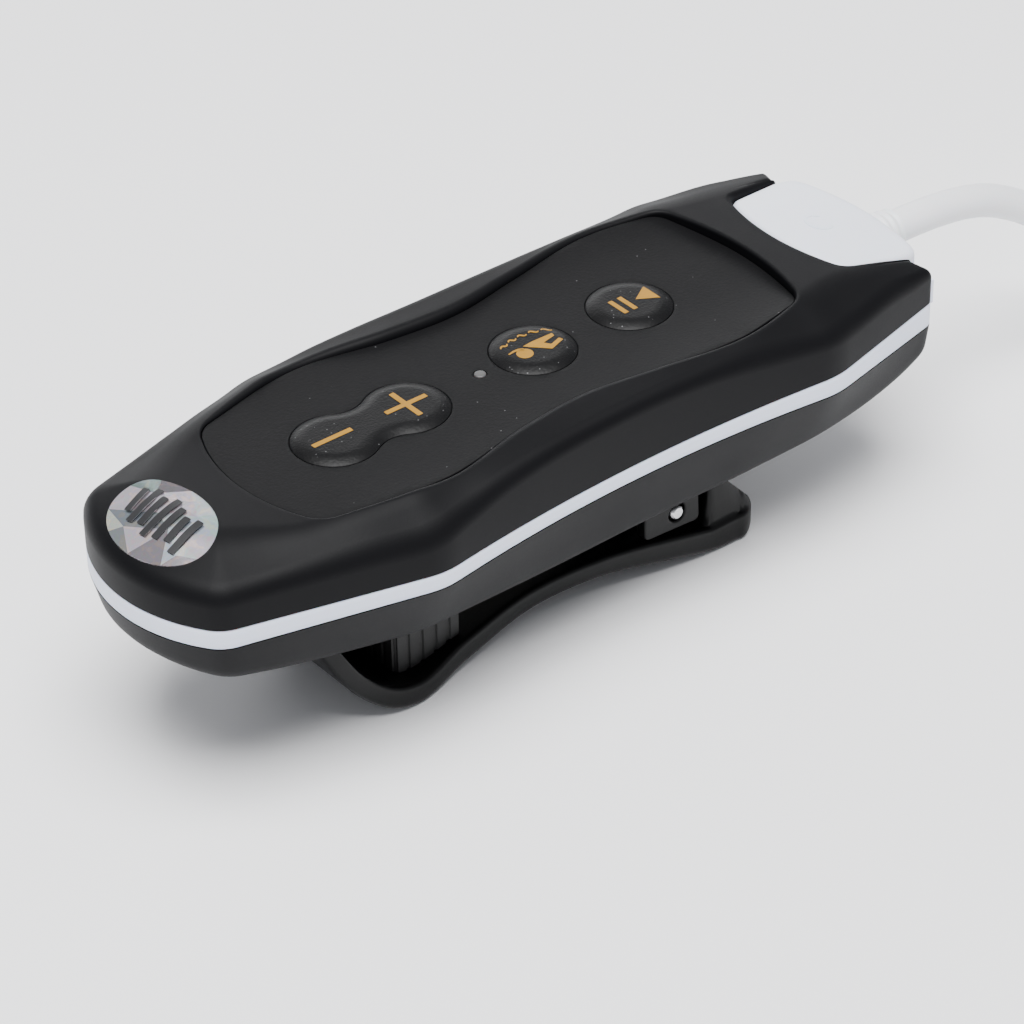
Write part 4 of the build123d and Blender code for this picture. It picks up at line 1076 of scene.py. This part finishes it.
def make_keypad():
    """Keypad panel with its holes, the three keys in them and the small light window."""
    holes = [outline for outline, _ in KEYS.values()] + [circle(LED_X, 0, LENS_R + 0.04, 28)]
    outline = spaced(offset(turned_left(RECESS), 0.06), 0.35)
    plate("keypad_skin", outline, keypad_black, panel_height, level(RECESS_FLOOR + 0.02), holes, 0.5,
          round_top=0.12, stands_for=["keypad_panel"], slot="keypad_plastic", sharp=50)
    for name, (outline, node) in KEYS.items():
        smaller = offset(turned_left(outline), KEY_GAP)
        plate(f"{name}_key", smaller, key_black, dome_height(smaller), level(RECESS_FLOOR + 0.1), step=0.32,
              round_top=0.03, body=node, stands_for=[node], slot="key_plastic", sharp=60)
    lens = circle(LED_X, 0, LENS_R, 28)
    plate("light_lens", lens, lens_milk, level(PANEL_HEIGHT + 0.10), level(5.0), step=0.2, round_top=0.16,
          stands_for=["led_lens"], slot="lens_white")


# ---------------- printed icons

PRINT_THICK = 0.02
PLUS_ARM, MINUS_ARM = (2.3, 2.2), 2.15           # half lengths: the plus along and across, the minus
STROKE = 0.56
MINUS_SHIFT = -0.35
TRIANGLE = ((-2.75, -1.25), (-2.75, 1.25), (-0.75, 0.0))
PAUSE_X, PAUSE_HALF, PAUSE_STROKE = (0.25, 1.35), 1.25, 0.5
HEAD = (-1.34, -0.50, 0.80)                      # swimmer's head: middle and radius
BODY = ((-0.75, 0.55), (0.45, 0.66), (2.70, 0.58), (2.62, 0.12), (1.12, -0.18), (1.50, -0.82),
        (2.72, -0.42), (2.90, -0.86), (1.10, -1.50), (0.30, -0.62), (-0.40, 0.10))
HAND = ((-2.60, 0.30), (-1.95, 0.42), (-1.42, 0.36), (-1.0, 0.10))
HAND_WIDTHS = (0.14, 0.26, 0.34, 0.40)
WAVE_STARTS = (-2.55, -1.35, -0.15, 1.05, 2.25)
WAVE_LENGTH, WAVE_HIGH = 0.95, 0.20


def turned(points, centre_x):
    """Icon points, drawn with their top towards -Y and their reading direction towards -X."""
    return (centre_x, 0) - np.array(points, float)


def bar(x1, y1, x2, y2, width):
    """Straight stroke as a closed loop."""
    a, b = np.array((x1, y1), float), np.array((x2, y2), float)
    side = (b - a)[::-1] * (1, -1) / np.linalg.norm(b - a) * width / 2
    return np.array([a - side, b - side, b + side, a + side])


def ribbon(points, widths):
    """Stroke along a path with a width at each point."""
    path = np.array(points, float)
    side = left_of(np.gradient(path, axis=0)) * np.array(widths, float)[:, None] / 2
    return np.concatenate([path + side, (path - side)[::-1]])


def make_icon(name, shapes, body, height, finish=gold_print, slot="gold_print", thick=PRINT_THICK):
    """Ink that lies on a key's dome: several flat shapes joined in one piece."""
    points, faces, start = [], [], 0
    for shape in shapes:
        shape = spaced(turned_left(shape), 0.14)
        made, made_faces = plate_mesh(shape, [], lambda x, y: height(x, y) + thick,
                                      lambda x, y: height(x, y) - 0.05, 0.22)
        points.append(made)
        faces += [tuple(int(i) + start for i in face) for face in made_faces]
        start += len(made)
    return piece(name, np.concatenate(points), faces, finish, body=body, slot=slot, sharp=60)


def make_icons():
    """Plus, minus, play and pause, and a swimmer under small waves."""
    dome = {name: dome_height(offset(turned_left(outline), KEY_GAP)) for name, (outline, _) in KEYS.items()}
    (along, across), half = PLUS_ARM, STROKE / 2
    plus = [(-half, -half), (-half, -across), (half, -across), (half, -half), (along, -half), (along, half),
            (half, half), (half, across), (-half, across), (-half, half), (-along, half), (-along, -half)]
    make_icon("plus_print", [turned(plus, PLUS_X)], "volume_rocker", dome["volume"])
    minus = bar(-MINUS_ARM, 0, MINUS_ARM, 0, STROKE)
    make_icon("minus_print", [turned(minus, MINUS_X + MINUS_SHIFT)], "volume_rocker", dome["volume"])
    bars = [bar(x, -PAUSE_HALF, x, PAUSE_HALF, PAUSE_STROKE) for x in PAUSE_X]
    make_icon("play_print", [turned(s, PLAY_X) for s in (TRIANGLE, *bars)], "play_button", dome["play"])
    waves = []
    for start in WAVE_STARTS:
        t = np.linspace(0, 1, 10)
        x = start + WAVE_LENGTH * t
        y = 2.05 - 0.085 * x ** 2 + WAVE_HIGH * np.sin(2 * math.pi * t)
        waves.append(ribbon(np.stack([x, y], 1), 0.10 + 0.14 * np.sin(math.pi * t)))
    swimmer = [circle(*HEAD, 30), np.array(BODY), ribbon(HAND, HAND_WIDTHS), *waves]
    make_icon("mode_print", [s + (MODE_X, 0.0) for s in swimmer], "mode_button", dome["mode"])


# ---------------- sticker

STICKER_CENTRE = (-39.0, 0.0)
STICKER_HALF = (4.15, 6.15)
STICKER_LIFT, STICKER_THICK = 0.10, 0.28
FACET_RIM = (12, 44, 78, 118, 150, 186, 222, 262, 296, 330)    # degrees round the rim
FACET_HUBS = ((-0.62, 0.36), (-0.12, -0.28), (0.34, 0.46), (0.52, -0.38), (-0.40, -0.72), (0.02, 0.10))
HUB_LIFT = (-0.05, 0.14)
RIM_STEPS = 9
# share of full brightness for each facet: painted reflection, some facets darkened as if turned away from
# the light
FACET_PAINTED_GLEAM = (0.30, 0.45, 0.70, 1.0, 1.0, 1.0)
FACET_HUES = ((1.0, 0.86, 0.92), (0.86, 1.0, 0.95), (0.88, 0.92, 1.0), (1.0, 0.98, 0.84), (1, 1, 1))
METER_BARS = (2.6, 4.0, 3.3, 4.6, 3.7, 2.8, 3.8)
METER_START, METER_PITCH, METER_LEAN, METER_STROKE = 3.75, 1.22, 0.30, 0.74


def sticker_height(x, y):
    return crowned(x, y) + STICKER_LIFT


def faceted_disc(draw):
    """Unit disc in coarse facets: its points with their lift, its triangles, the facet of each, its rim."""
    rim = np.array([(math.cos(math.radians(a)), math.sin(math.radians(a))) for a in FACET_RIM])
    flat, coarse, rims = triangles([rim], np.array(FACET_HUBS))
    rim_points = rims[0]
    points = [(*flat[k], 0.0 if k in rim_points else draw.uniform(*HUB_LIFT)) for k in range(len(flat))]
    after = {k: rim_points[(i + 1) % len(rim)] for i, k in enumerate(rim_points)}
    angle_of = {k: math.radians(FACET_RIM[i]) for i, k in enumerate(rim_points)}
    faces, facet_of, edges = [], [], []
    for facet, triangle in enumerate(coarse):
        shape = []
        for i in range(3):
            k, following = int(triangle[i]), int(triangle[(i + 1) % 3])
            shape.append(k)
            if after.get(k) == following:
                first = angle_of[k]
                turn = (angle_of[following] - first) % (2 * math.pi)
                bend = range(len(points), len(points) + RIM_STEPS - 1)
                angles = [first + turn * step / RIM_STEPS for step in range(1, RIM_STEPS)]
                points += [(math.cos(a), math.sin(a), 0.0) for a in angles]
                path = [k, *bend, following]
                edges += list(zip(path, path[1:]))
                shape += bend
        apex = next(i for i, k in enumerate(shape) if k not in after)
        shape = shape[apex:] + shape[:apex]
        faces += [(shape[0], a, b) for a, b in zip(shape[1:], shape[2:])]
        facet_of += [facet] * (len(shape) - 2)
    return np.array(points), faces, facet_of, edges, len(coarse)


def make_sticker():
    """Round foil label, pressed into star-shaped facets, with a plain level-meter symbol on it."""
    draw = random.Random(11)
    points, faces, facet_of, edges, facets = faceted_disc(draw)
    x = STICKER_CENTRE[0] + points[:, 0] * STICKER_HALF[0]
    y = STICKER_CENTRE[1] + points[:, 1] * STICKER_HALF[1]
    top = np.column_stack([x, y, sticker_height(x, y) + points[:, 2]])
    bottom = top - (0, 0, STICKER_THICK)
    total = len(top)
    made = faces + [tuple(k + total for k in face[::-1]) for face in faces]
    made += [(a, b, b + total, a + total) for a, b in edges]
    # each facet's colour is a pale hue times a painted brightness, which stands in for how much light that
    # facet reflects
    facet_hue_and_painted_gleam = []
    for _ in range(facets):
        light = draw.choice(FACET_PAINTED_GLEAM)
        facet_hue_and_painted_gleam.append((*(light * c for c in draw.choice(FACET_HUES)), 1.0))
    obj = piece("foil_label", np.concatenate([top, bottom]), made, foil, stands_for=["sticker"],
                slot="foil_sticker", sharp=1.0)
    middles = top[np.array(faces)].mean(1)
    colours = obj.data.color_attributes.new("facet", "FLOAT_COLOR", "CORNER")
    for face in obj.data.polygons:
        centre = np.array(face.center) / MM - (0, 0, PARTING)
        nearest = int(np.linalg.norm(middles - centre, axis=1).argmin())
        for corner in face.loop_indices:
            colours.data[corner].color = facet_hue_and_painted_gleam[facet_of[nearest]]
    bars = []
    for i, tall in enumerate(METER_BARS):
        at = METER_START - i * METER_PITCH
        stroke = bar(-tall / 2, at - METER_LEAN, tall / 2, at + METER_LEAN, METER_STROKE)
        bars.append(stroke + np.array(STICKER_CENTRE))
    make_icon("label_print", bars, "root", lambda x, y: sticker_height(x, y) + 0.15, print_black,
              slot="black_plastic")


# ---------------- plug and bracket

PLUG_END = 43.9
PLUG_CORNER = (42.6, 9.0)
PLUG_SLOPE = ((30.0, 8.1), (32.4, 8.0), (43.9, 6.5))
PLUG_CROWN = 0.0030                              # how fast the top falls away from the X axis
MARK_X, MARK_HALF, MARK_STROKE = 37.7, (1.15, 1.45), 0.34
SCREW_AT = ((37.9, 5.6), (37.9, -5.6))
SCREW_BORE, SCREW_HOLE = 1.92, 1.0
BRACKET_PLATE, BRACKET_FLOOR = (34.65, 41.2, 8.85), (35.0, 41.0, 8.5)
PLATE_TOP, FLOOR_TOP, FLOOR_LOW = -2.65, -2.7, -3.95
LIP_POINTS = ((43.55, 0), (43.55, 2.1), (44.15, 2.5), (44.15, 8.85), (40.6, 8.85), (40.6, 0))
LIP_TOP = -0.15
LIP_UNDER = ((40.6, -3.9), (44.15, -4.35))


def plug_top(x, y):
    return straight(x, PLUG_SLOPE) - PLUG_CROWN * y ** 2


def make_plug():
    """White body of the earphone plug, filling the bay between the prongs, with a small open ring on it."""
    end = from_axis(PLUG_CORNER, PLUG_END)
    half = rounded_path([from_axis(NOTCH[0], NOTCH_ROOT_X), *chain(*NOTCH, PLUG_CORNER), end[::-1]],
                        [1.2, 0.6, 1.4], [20, 24, 8, 30])
    outline = spaced(offset(turned_left(both_sides(half)), 0.1), 0.35)
    plate("plug_shell", outline, plug_white, plug_top, level(0.05), step=0.55, round_top=0.75,
          round_low=0.2, stands_for=["plug_block"], slot="white_plastic", sharp=50)
    t = np.linspace(math.radians(35), math.radians(325), 30)
    ring = np.stack([MARK_X + MARK_HALF[0] * np.cos(t), MARK_HALF[1] * np.sin(t)], 1)
    make_icon("plug_mark", [ribbon(ring, np.full(30, MARK_STROKE))], "root", plug_top, plug_white,
              slot="white_plastic", thick=0.05)


def make_bracket():
    """Black bracket that locks the plug in, with its lip over the end of the housing."""
    holes = [circle(x, y, SCREW_BORE, 40) for x, y in SCREW_AT]
    plate("bracket_plate", spaced(rectangle(*BRACKET_PLATE), 0.3), housing_black, level(PLATE_TOP),
          lambda x, y: curve(x, BELLY), holes, 0.5, round_low=0.12, stands_for=["plug_bracket"],
          slot="black_plastic", sharp=45)
    lip = both_sides(rounded_path(chain(*LIP_POINTS), [0.2, 0.2, 1.0, 0.2], [6, 4, 14, 10, 16]))
    plate("bracket_lip", spaced(turned_left(lip), 0.3), housing_black, level(LIP_TOP),
          lambda x, y: straight(x, LIP_UNDER), step=0.5, round_top=0.35, round_low=0.5,
          slot="black_plastic", sharp=45)
    holes = [circle(x, y, SCREW_HOLE, 24) for x, y in SCREW_AT]
    plate("bracket_floor", spaced(rectangle(*BRACKET_FLOOR), 0.6), housing_black, level(FLOOR_TOP),
          level(FLOOR_LOW), holes, 0.8, slot="black_plastic")


SCREW_HEAD_R, SCREW_HEAD_HIGH, SCREW_HEAD_Z = 1.8, 1.0, -4.45
SCREW_SLOT = (1.25, 0.30)                        # a slot's length and width, as shares of the head's radius
SLOT_DROP = -0.55                                # its middle's height, as a share of the head's


def screw_tree():
    """Geometry nodes: one cross-head screw head, set on each point it is given."""
    tree = bpy.data.node_groups.new("cross-head screws", "GeometryNodeTree")
    tree.interface.new_socket("Points", in_out="INPUT", socket_type="NodeSocketGeometry")
    head_r = tree.interface.new_socket("Head radius", in_out="INPUT", socket_type="NodeSocketFloat")
    head_h = tree.interface.new_socket("Head height", in_out="INPUT", socket_type="NodeSocketFloat")
    tree.interface.new_socket("Screws", in_out="OUTPUT", socket_type="NodeSocketGeometry")
    head_r.default_value, head_h.default_value = SCREW_HEAD_R * MM, SCREW_HEAD_HIGH * MM

    def add(kind, settings=(), ins=()):
        return add_node(tree, kind, settings, ins)

    def times(socket, factor):
        return add("ShaderNodeMath", {"operation": "MULTIPLY"}, {0: socket, 1: factor}).outputs[0]

    given = add("NodeGroupInput")
    radius, height = given.outputs["Head radius"], given.outputs["Head height"]
    head = add("GeometryNodeMeshCylinder", {}, {"Vertices": 40, "Side Segments": 1, "Fill Segments": 3,
                                                "Radius": radius, "Depth": height})
    sizes = [times(radius, share) for share in SCREW_SLOT]
    cuts = []
    for turn in (0, 1):
        size = add("ShaderNodeCombineXYZ", {}, {0: sizes[turn], 1: sizes[1 - turn], 2: height})
        block = add("GeometryNodeMeshCube", {}, {"Size": size.outputs[0]})
        shift = add("ShaderNodeCombineXYZ", {}, {2: times(height, SLOT_DROP)})
        cuts.append(add("GeometryNodeTransform", {}, {"Geometry": block.outputs["Mesh"],
                                                      "Translation": shift.outputs[0]}).outputs[0])
    cross = add("GeometryNodeMeshBoolean", {"operation": "DIFFERENCE", "solver": "EXACT"},
                {"Mesh 1": head.outputs["Mesh"]})
    for cut in cuts:
        tree.links.new(cut, cross.inputs["Mesh 2"])
    spots = add("GeometryNodeInstanceOnPoints", {}, {"Points": given.outputs["Points"],
                                                     "Instance": cross.outputs["Mesh"]})
    real = add("GeometryNodeRealizeInstances", {}, {"Geometry": spots.outputs[0]})
    coat = add("GeometryNodeSetMaterial", {}, {"Geometry": real.outputs[0], "Material": clip_black})
    out = add("NodeGroupOutput")
    tree.links.new(coat.outputs[0], out.inputs[0])
    return tree


def make_screws():
    """The two screw heads, as one plain mesh."""
    mesh = bpy.data.meshes.new("screw spots")
    mesh.from_pydata(place([(x, y, SCREW_HEAD_Z) for x, y in SCREW_AT]).tolist(), [], [])
    spots = bpy.data.objects.new("screw_spots", mesh)
    bpy.context.scene.collection.objects.link(spots)
    change = spots.modifiers.new("screws", "NODES")
    change.node_group = screw_tree()
    made = evaluated_mesh(spots)
    bpy.data.objects.remove(spots)
    made.name = "screw heads"
    obj = finished("screw_heads", made, clip_black, "root", ["bracket_screws"], 30)
    return bevelled(obj, 0.10, 2)


# ---------------- belt clip

PIN_AT = (13.1, -11.3)
LEVER_TIP, LEVER_TAB = -29.0, 23.3
LEVER_SIDE = ((20.5, 8.4), (14.0, 8.4), (5.2, 7.45), (-3.5, 6.7), (-12.0, 7.7), (-20.3, 8.9),
              (-24.6, 8.3))
LEVER_OUTER = ((-29.0, -6.9), (-25.6, -13.2), (-22.4, -16.5), (-18.8, -17.93), (-12.0, -16.9),
               (-3.5, -15.6), (4.5, -15.3), (12.5, -16.6), (20.0, -17.95), (22.2, -17.7), (23.3, -16.6))
LEVER_INNER = ((-27.2, -6.9), (-24.2, -12.0), (-21.6, -14.4), (-18.8, -15.4), (-12.0, -14.3),
               (-3.5, -13.3), (4.5, -13.0), (12.5, -13.9), (17.2, -14.9))
LEVER_END = ((-24.6, 8.3), (-28.4, 7.7), (LEVER_TIP - 0.1, 4.6))       # bend of the side into the tip
TAB_START, TAB_RISE, TAB_HALF = 16.9, 0.9, 7.9
TAB_TOP = ((16.9, -10.0), (18.4, -10.0), (19.3, -10.3), (22.9, -14.3), (23.3, -15.2))
DIMPLE_AT, DIMPLE_HALF, DIMPLE_DEEP = (19.2, 4.5), (1.5, 1.6), 0.35
LUG_Y, LUG_R, LUG_HOLE = (5.1, 6.4), 2.0, 0.85
LUG_FOOT = ((-2.6, -14.2), (2.6, -14.9))         # feet of a lug: along X from the pin, and height


def lever_outline():
    """Plan of the lever: a square thumb end, a waist, and a round tip."""
    half = [(LEVER_TAB, 0.0), (LEVER_TAB, 4.6)]
    half += [tuple(p) for p in arc((LEVER_TAB, 6.2), (22.6, 7.85), (20.5, 8.4), 10)]
    xs = np.linspace(20.0, -24.6, 90)
    half += list(zip(xs, curve(xs, LEVER_SIDE[::-1])))
    t = np.linspace(0, 1, 14)[1:]
    a, b, c = (np.array(point) for point in LEVER_END)
    half += [tuple(a * (1 - u) ** 2 + 2 * b * u * (1 - u) + c * u ** 2) for u in t]
    half.append((LEVER_TIP - 0.4, 0.0))
    return spaced(turned_left(both_sides(np.array(half))), 0.35)


def lever_low(x, y):
    return curve(x, LEVER_OUTER)


def lever_high(x, y):
    """Inner face of the lever, with the raised thumb tab at its plug end."""
    plain = np.where(x < LEVER_INNER[0][0], LEVER_INNER[0][1], curve(x, LEVER_INNER))
    rise = np.clip((x - TAB_START) / TAB_RISE, 0, 1)
    tab_wide = np.clip((TAB_HALF - np.abs(y)) / 0.5, 0, 1)
    along, across = (x - DIMPLE_AT[0]) / DIMPLE_HALF[0], (np.abs(y) - DIMPLE_AT[1]) / DIMPLE_HALF[1]
    dimple = DIMPLE_DEEP * np.exp(-(along ** 2 + across ** 2) ** 3)
    blend = rise * rise * (3 - 2 * rise) * tab_wide
    return plain + (np.maximum(straight(x, TAB_TOP), plain) - plain) * blend - dimple * blend


def make_lever():
    """Clip lever with the two lugs that its pin goes through."""
    plate("lever", lever_outline(), clip_black, lever_high, lever_low, step=0.5, round_top=0.5,
          round_low=0.75, body="clip_lever", stands_for=["clip_lever"], slot="clip_plastic", sharp=45)
    for side in (1, -1):
        loop = [(PIN_AT[0] + LUG_R * math.cos(a), PIN_AT[1] + LUG_R * math.sin(a))
                for a in np.linspace(0, math.pi, 25)]
        loop += [(PIN_AT[0] + x, z) for x, z in LUG_FOOT]
        name = "lever_lug_near" if side < 0 else "lever_lug_far"
        upright(name, np.array(loop), side * LUG_Y[0], side * LUG_Y[1], "clip_lever", LUG_HOLE)


def upright(name, loop, y1, y2, body, hole, round_by=0.2, stands_for=()):
    """Black plate that stands along X and Z between two Y faces, with the pin's hole through it."""
    loop, holes = spaced(turned_left(loop), 0.3), [circle(*PIN_AT, hole, 28)]
    points, faces = plate_mesh(loop, holes, level(max(y1, y2)), level(min(y1, y2)), 0.5, round_by, round_by)
    return piece(name, points[:, (0, 2, 1)], faces, clip_black, body=body, stands_for=stands_for,
                 slot="clip_plastic", sharp=45)


JAW = (-19.4, -11.6, 6.4)
JAW_TOP = -7.75
RIB_PITCH, RIB_DEEP, RIB_SHARE = 1.55, 0.16, 0.62
TOOTH_PITCH, TOOTH_GAP, TOOTH_DEEP = 1.3, 0.5, 0.55


def make_jaw():
    """Rubber jaw block: upright ribs round its sides and teeth across its gripping face."""
    x1, x2, half = JAW
    corners = rounded_path(chain((x2, 0), (x2, half), (x1, half), (x1, 0)), [0.6, 0.6], [30, 40, 30], 5)
    loop = spaced(turned_left(both_sides(corners)), 0.12)
    run = lengths(np.concatenate([loop, loop[:1]]))[:-1]
    groove = RIB_DEEP * (np.cos(2 * math.pi * run / RIB_PITCH) > RIB_SHARE)
    loop = offset(loop, groove[:, None])

    def teeth(x, y):
        return JAW_TOP - TOOTH_DEEP * (((x - x1) % TOOTH_PITCH) < TOOTH_GAP)

    plate("jaw", loop, rubber_black, teeth, lambda x, y: curve(x, LEVER_INNER) - 0.3, step=0.22,
          body="clip_lever", stands_for=["jaw_pad"], slot="soft_rubber", sharp=35)


EAR = ((9.1, -7.6), (9.1, -12.9), (15.9, -13.3), (15.7, -7.55))
EAR_ROOT = ((15.4, -7.3), (12.4, -7.3), (9.4, -7.3))
EAR_Y, EAR_HOLE = (6.7, 8.0), 1.0
WEB, WEB_TOP, WEB_LOW = (9.15, 15.7, 6.8), -7.5, -8.9
PIN_PROFILE = ((0, -8.12), (0.55, -8.12), (0.74, -7.95), (0.8, -7.7), (0.8, 7.7), (0.74, 7.95),
               (0.55, 8.12), (0, 8.12))


def make_clip_bracket():
    """Two ears and a web under the housing, and the hinge pin through the ears."""
    for side in (1, -1):
        ear = np.concatenate([rounded_path(chain(*EAR), [0.7, 0.7], [10, 12, 10], 6), EAR_ROOT])
        name = "bracket_ear_near" if side < 0 else "bracket_ear_far"
        upright(name, ear, side * EAR_Y[0], side * EAR_Y[1], "root", EAR_HOLE, 0.22,
                ["clip_bracket"] if side < 0 else ())
    plate("bracket_web", spaced(rectangle(*WEB), 0.5), clip_black, level(WEB_TOP), level(WEB_LOW), step=0.8,
          round_low=0.25, slot="clip_plastic")
    lathe("hinge_pin", PIN_PROFILE, (PIN_AT[0], 0, PIN_AT[1]), steel, "Y", 36, stands_for=["clip_pin"],
          slot="steel")


COILS, COIL_STEPS, COIL_R, WIRE_R = 6, 20, 1.45, 0.3
COIL_START = math.radians(115)
FIRST_LEG = ((-3.6, -8.95), (-1.6, -9.6))        # along X from the pin, and height
LAST_LEG = ((-2.4, -12.5), (-5.0, -13.0))


def make_spring():
    """Torsion spring round the pin: close turns and a leg to each side of the clip."""
    half = COILS * WIRE_R * 2.1 / 2
    steps = COILS * COIL_STEPS
    points = [(PIN_AT[0] + x, half, z) for x, z in FIRST_LEG]
    for i in range(steps + 1):
        a = COIL_START + 2 * math.pi * i / COIL_STEPS
        points.append((PIN_AT[0] + COIL_R * math.cos(a), half - 2 * half * i / steps,
                       PIN_AT[1] + COIL_R * math.sin(a)))
    points += [(PIN_AT[0] + x, -half, z) for x, z in LAST_LEG]
    curve_obj = cord_curve("spring_wire", [tuple(v) for v in place(points)], 2 * WIRE_R * MM, steel)
    mesh = evaluated_mesh(curve_obj)
    bpy.data.objects.remove(curve_obj)
    finished("torsion_spring", mesh, steel, "root", ["clip_spring"], 60)


# ---------------- inner pieces, light and floor

INNER_FINISH = {"circuit_board": board_green, "jack_socket": chip_black, "key_switches": steel,
                "status_led": lens_milk, "processor": chip_black, "memory_chip": chip_black,
                "crystal": steel, "chip_parts": chip_tan, "battery": pouch, "battery_pad": foam_grey,
                "housing_seal": rubber_black, "lead_tie": rubber_black, "branch_tie": rubber_black,
                "plug_jack": plated, "plug_seal": rubber_black}


def finish_inner_pieces():
    for name, finish in INNER_FINISH.items():
        mesh = nodes[name].data
        mesh.materials.clear()
        mesh.materials.append(finish)


AIM = (0, 0, 0.015)                              # what the lights point at, in metres
SKY, SKY_STRENGTH = (0.93, 0.95, 1.0, 1), 0.50
FLOOR_REACH = 4.0


def soft_light(name, at, size, power):
    """Rectangular softbox, in metres and watts."""
    data = bpy.data.lights.new(name, "AREA")
    data.shape = "RECTANGLE"
    data.size, data.size_y = size
    data.energy = power
    obj = bpy.data.objects.new(name, data)
    bpy.context.scene.collection.objects.link(obj)
    obj.location = at
    obj.rotation_euler = (Vector(AIM) - Vector(at)).to_track_quat("-Z", "Y").to_euler()


def make_studio():
    """Pale surroundings, two softboxes and a plain paper floor."""
    world = bpy.data.worlds.new("studio")
    world.use_nodes = True
    background = world.node_tree.nodes["Background"]
    background.inputs["Color"].default_value = SKY
    background.inputs["Strength"].default_value = SKY_STRENGTH
    bpy.context.scene.world = world
    soft_light("overhead softbox", (-0.10, -0.12, 0.75), (0.55, 0.55), 15.0)
    soft_light("back softbox", (0.30, 0.55, 0.22), (0.5, 0.16), 1.2)
    paper = Finish("pale paper", Roughness=0.9)
    paper.feed("Base Color", paper.blend(paper.noise(60.0, 2.0), (0.90, 0.90, 0.91), (0.93, 0.93, 0.94)))
    floor_mesh = bpy.data.meshes.new("floor")
    corners = [(x * FLOOR_REACH, y * FLOOR_REACH, 0) for x, y in ((-1, -1), (1, -1), (1, 1), (-1, 1))]
    floor_mesh.from_pydata(corners, [], [(0, 1, 2, 3)])
    floor_mesh.materials.append(paper.material)
    floor = bpy.data.objects.new("floor", floor_mesh)
    bpy.context.scene.collection.objects.link(floor)


make_front_cover()
make_band()
make_back_cover()
make_keypad()
make_icons()
make_sticker()
make_plug()
make_bracket()
make_screws()
make_lever()
make_jaw()
make_clip_bracket()
make_spring()
finish_inner_pieces()
make_studio()
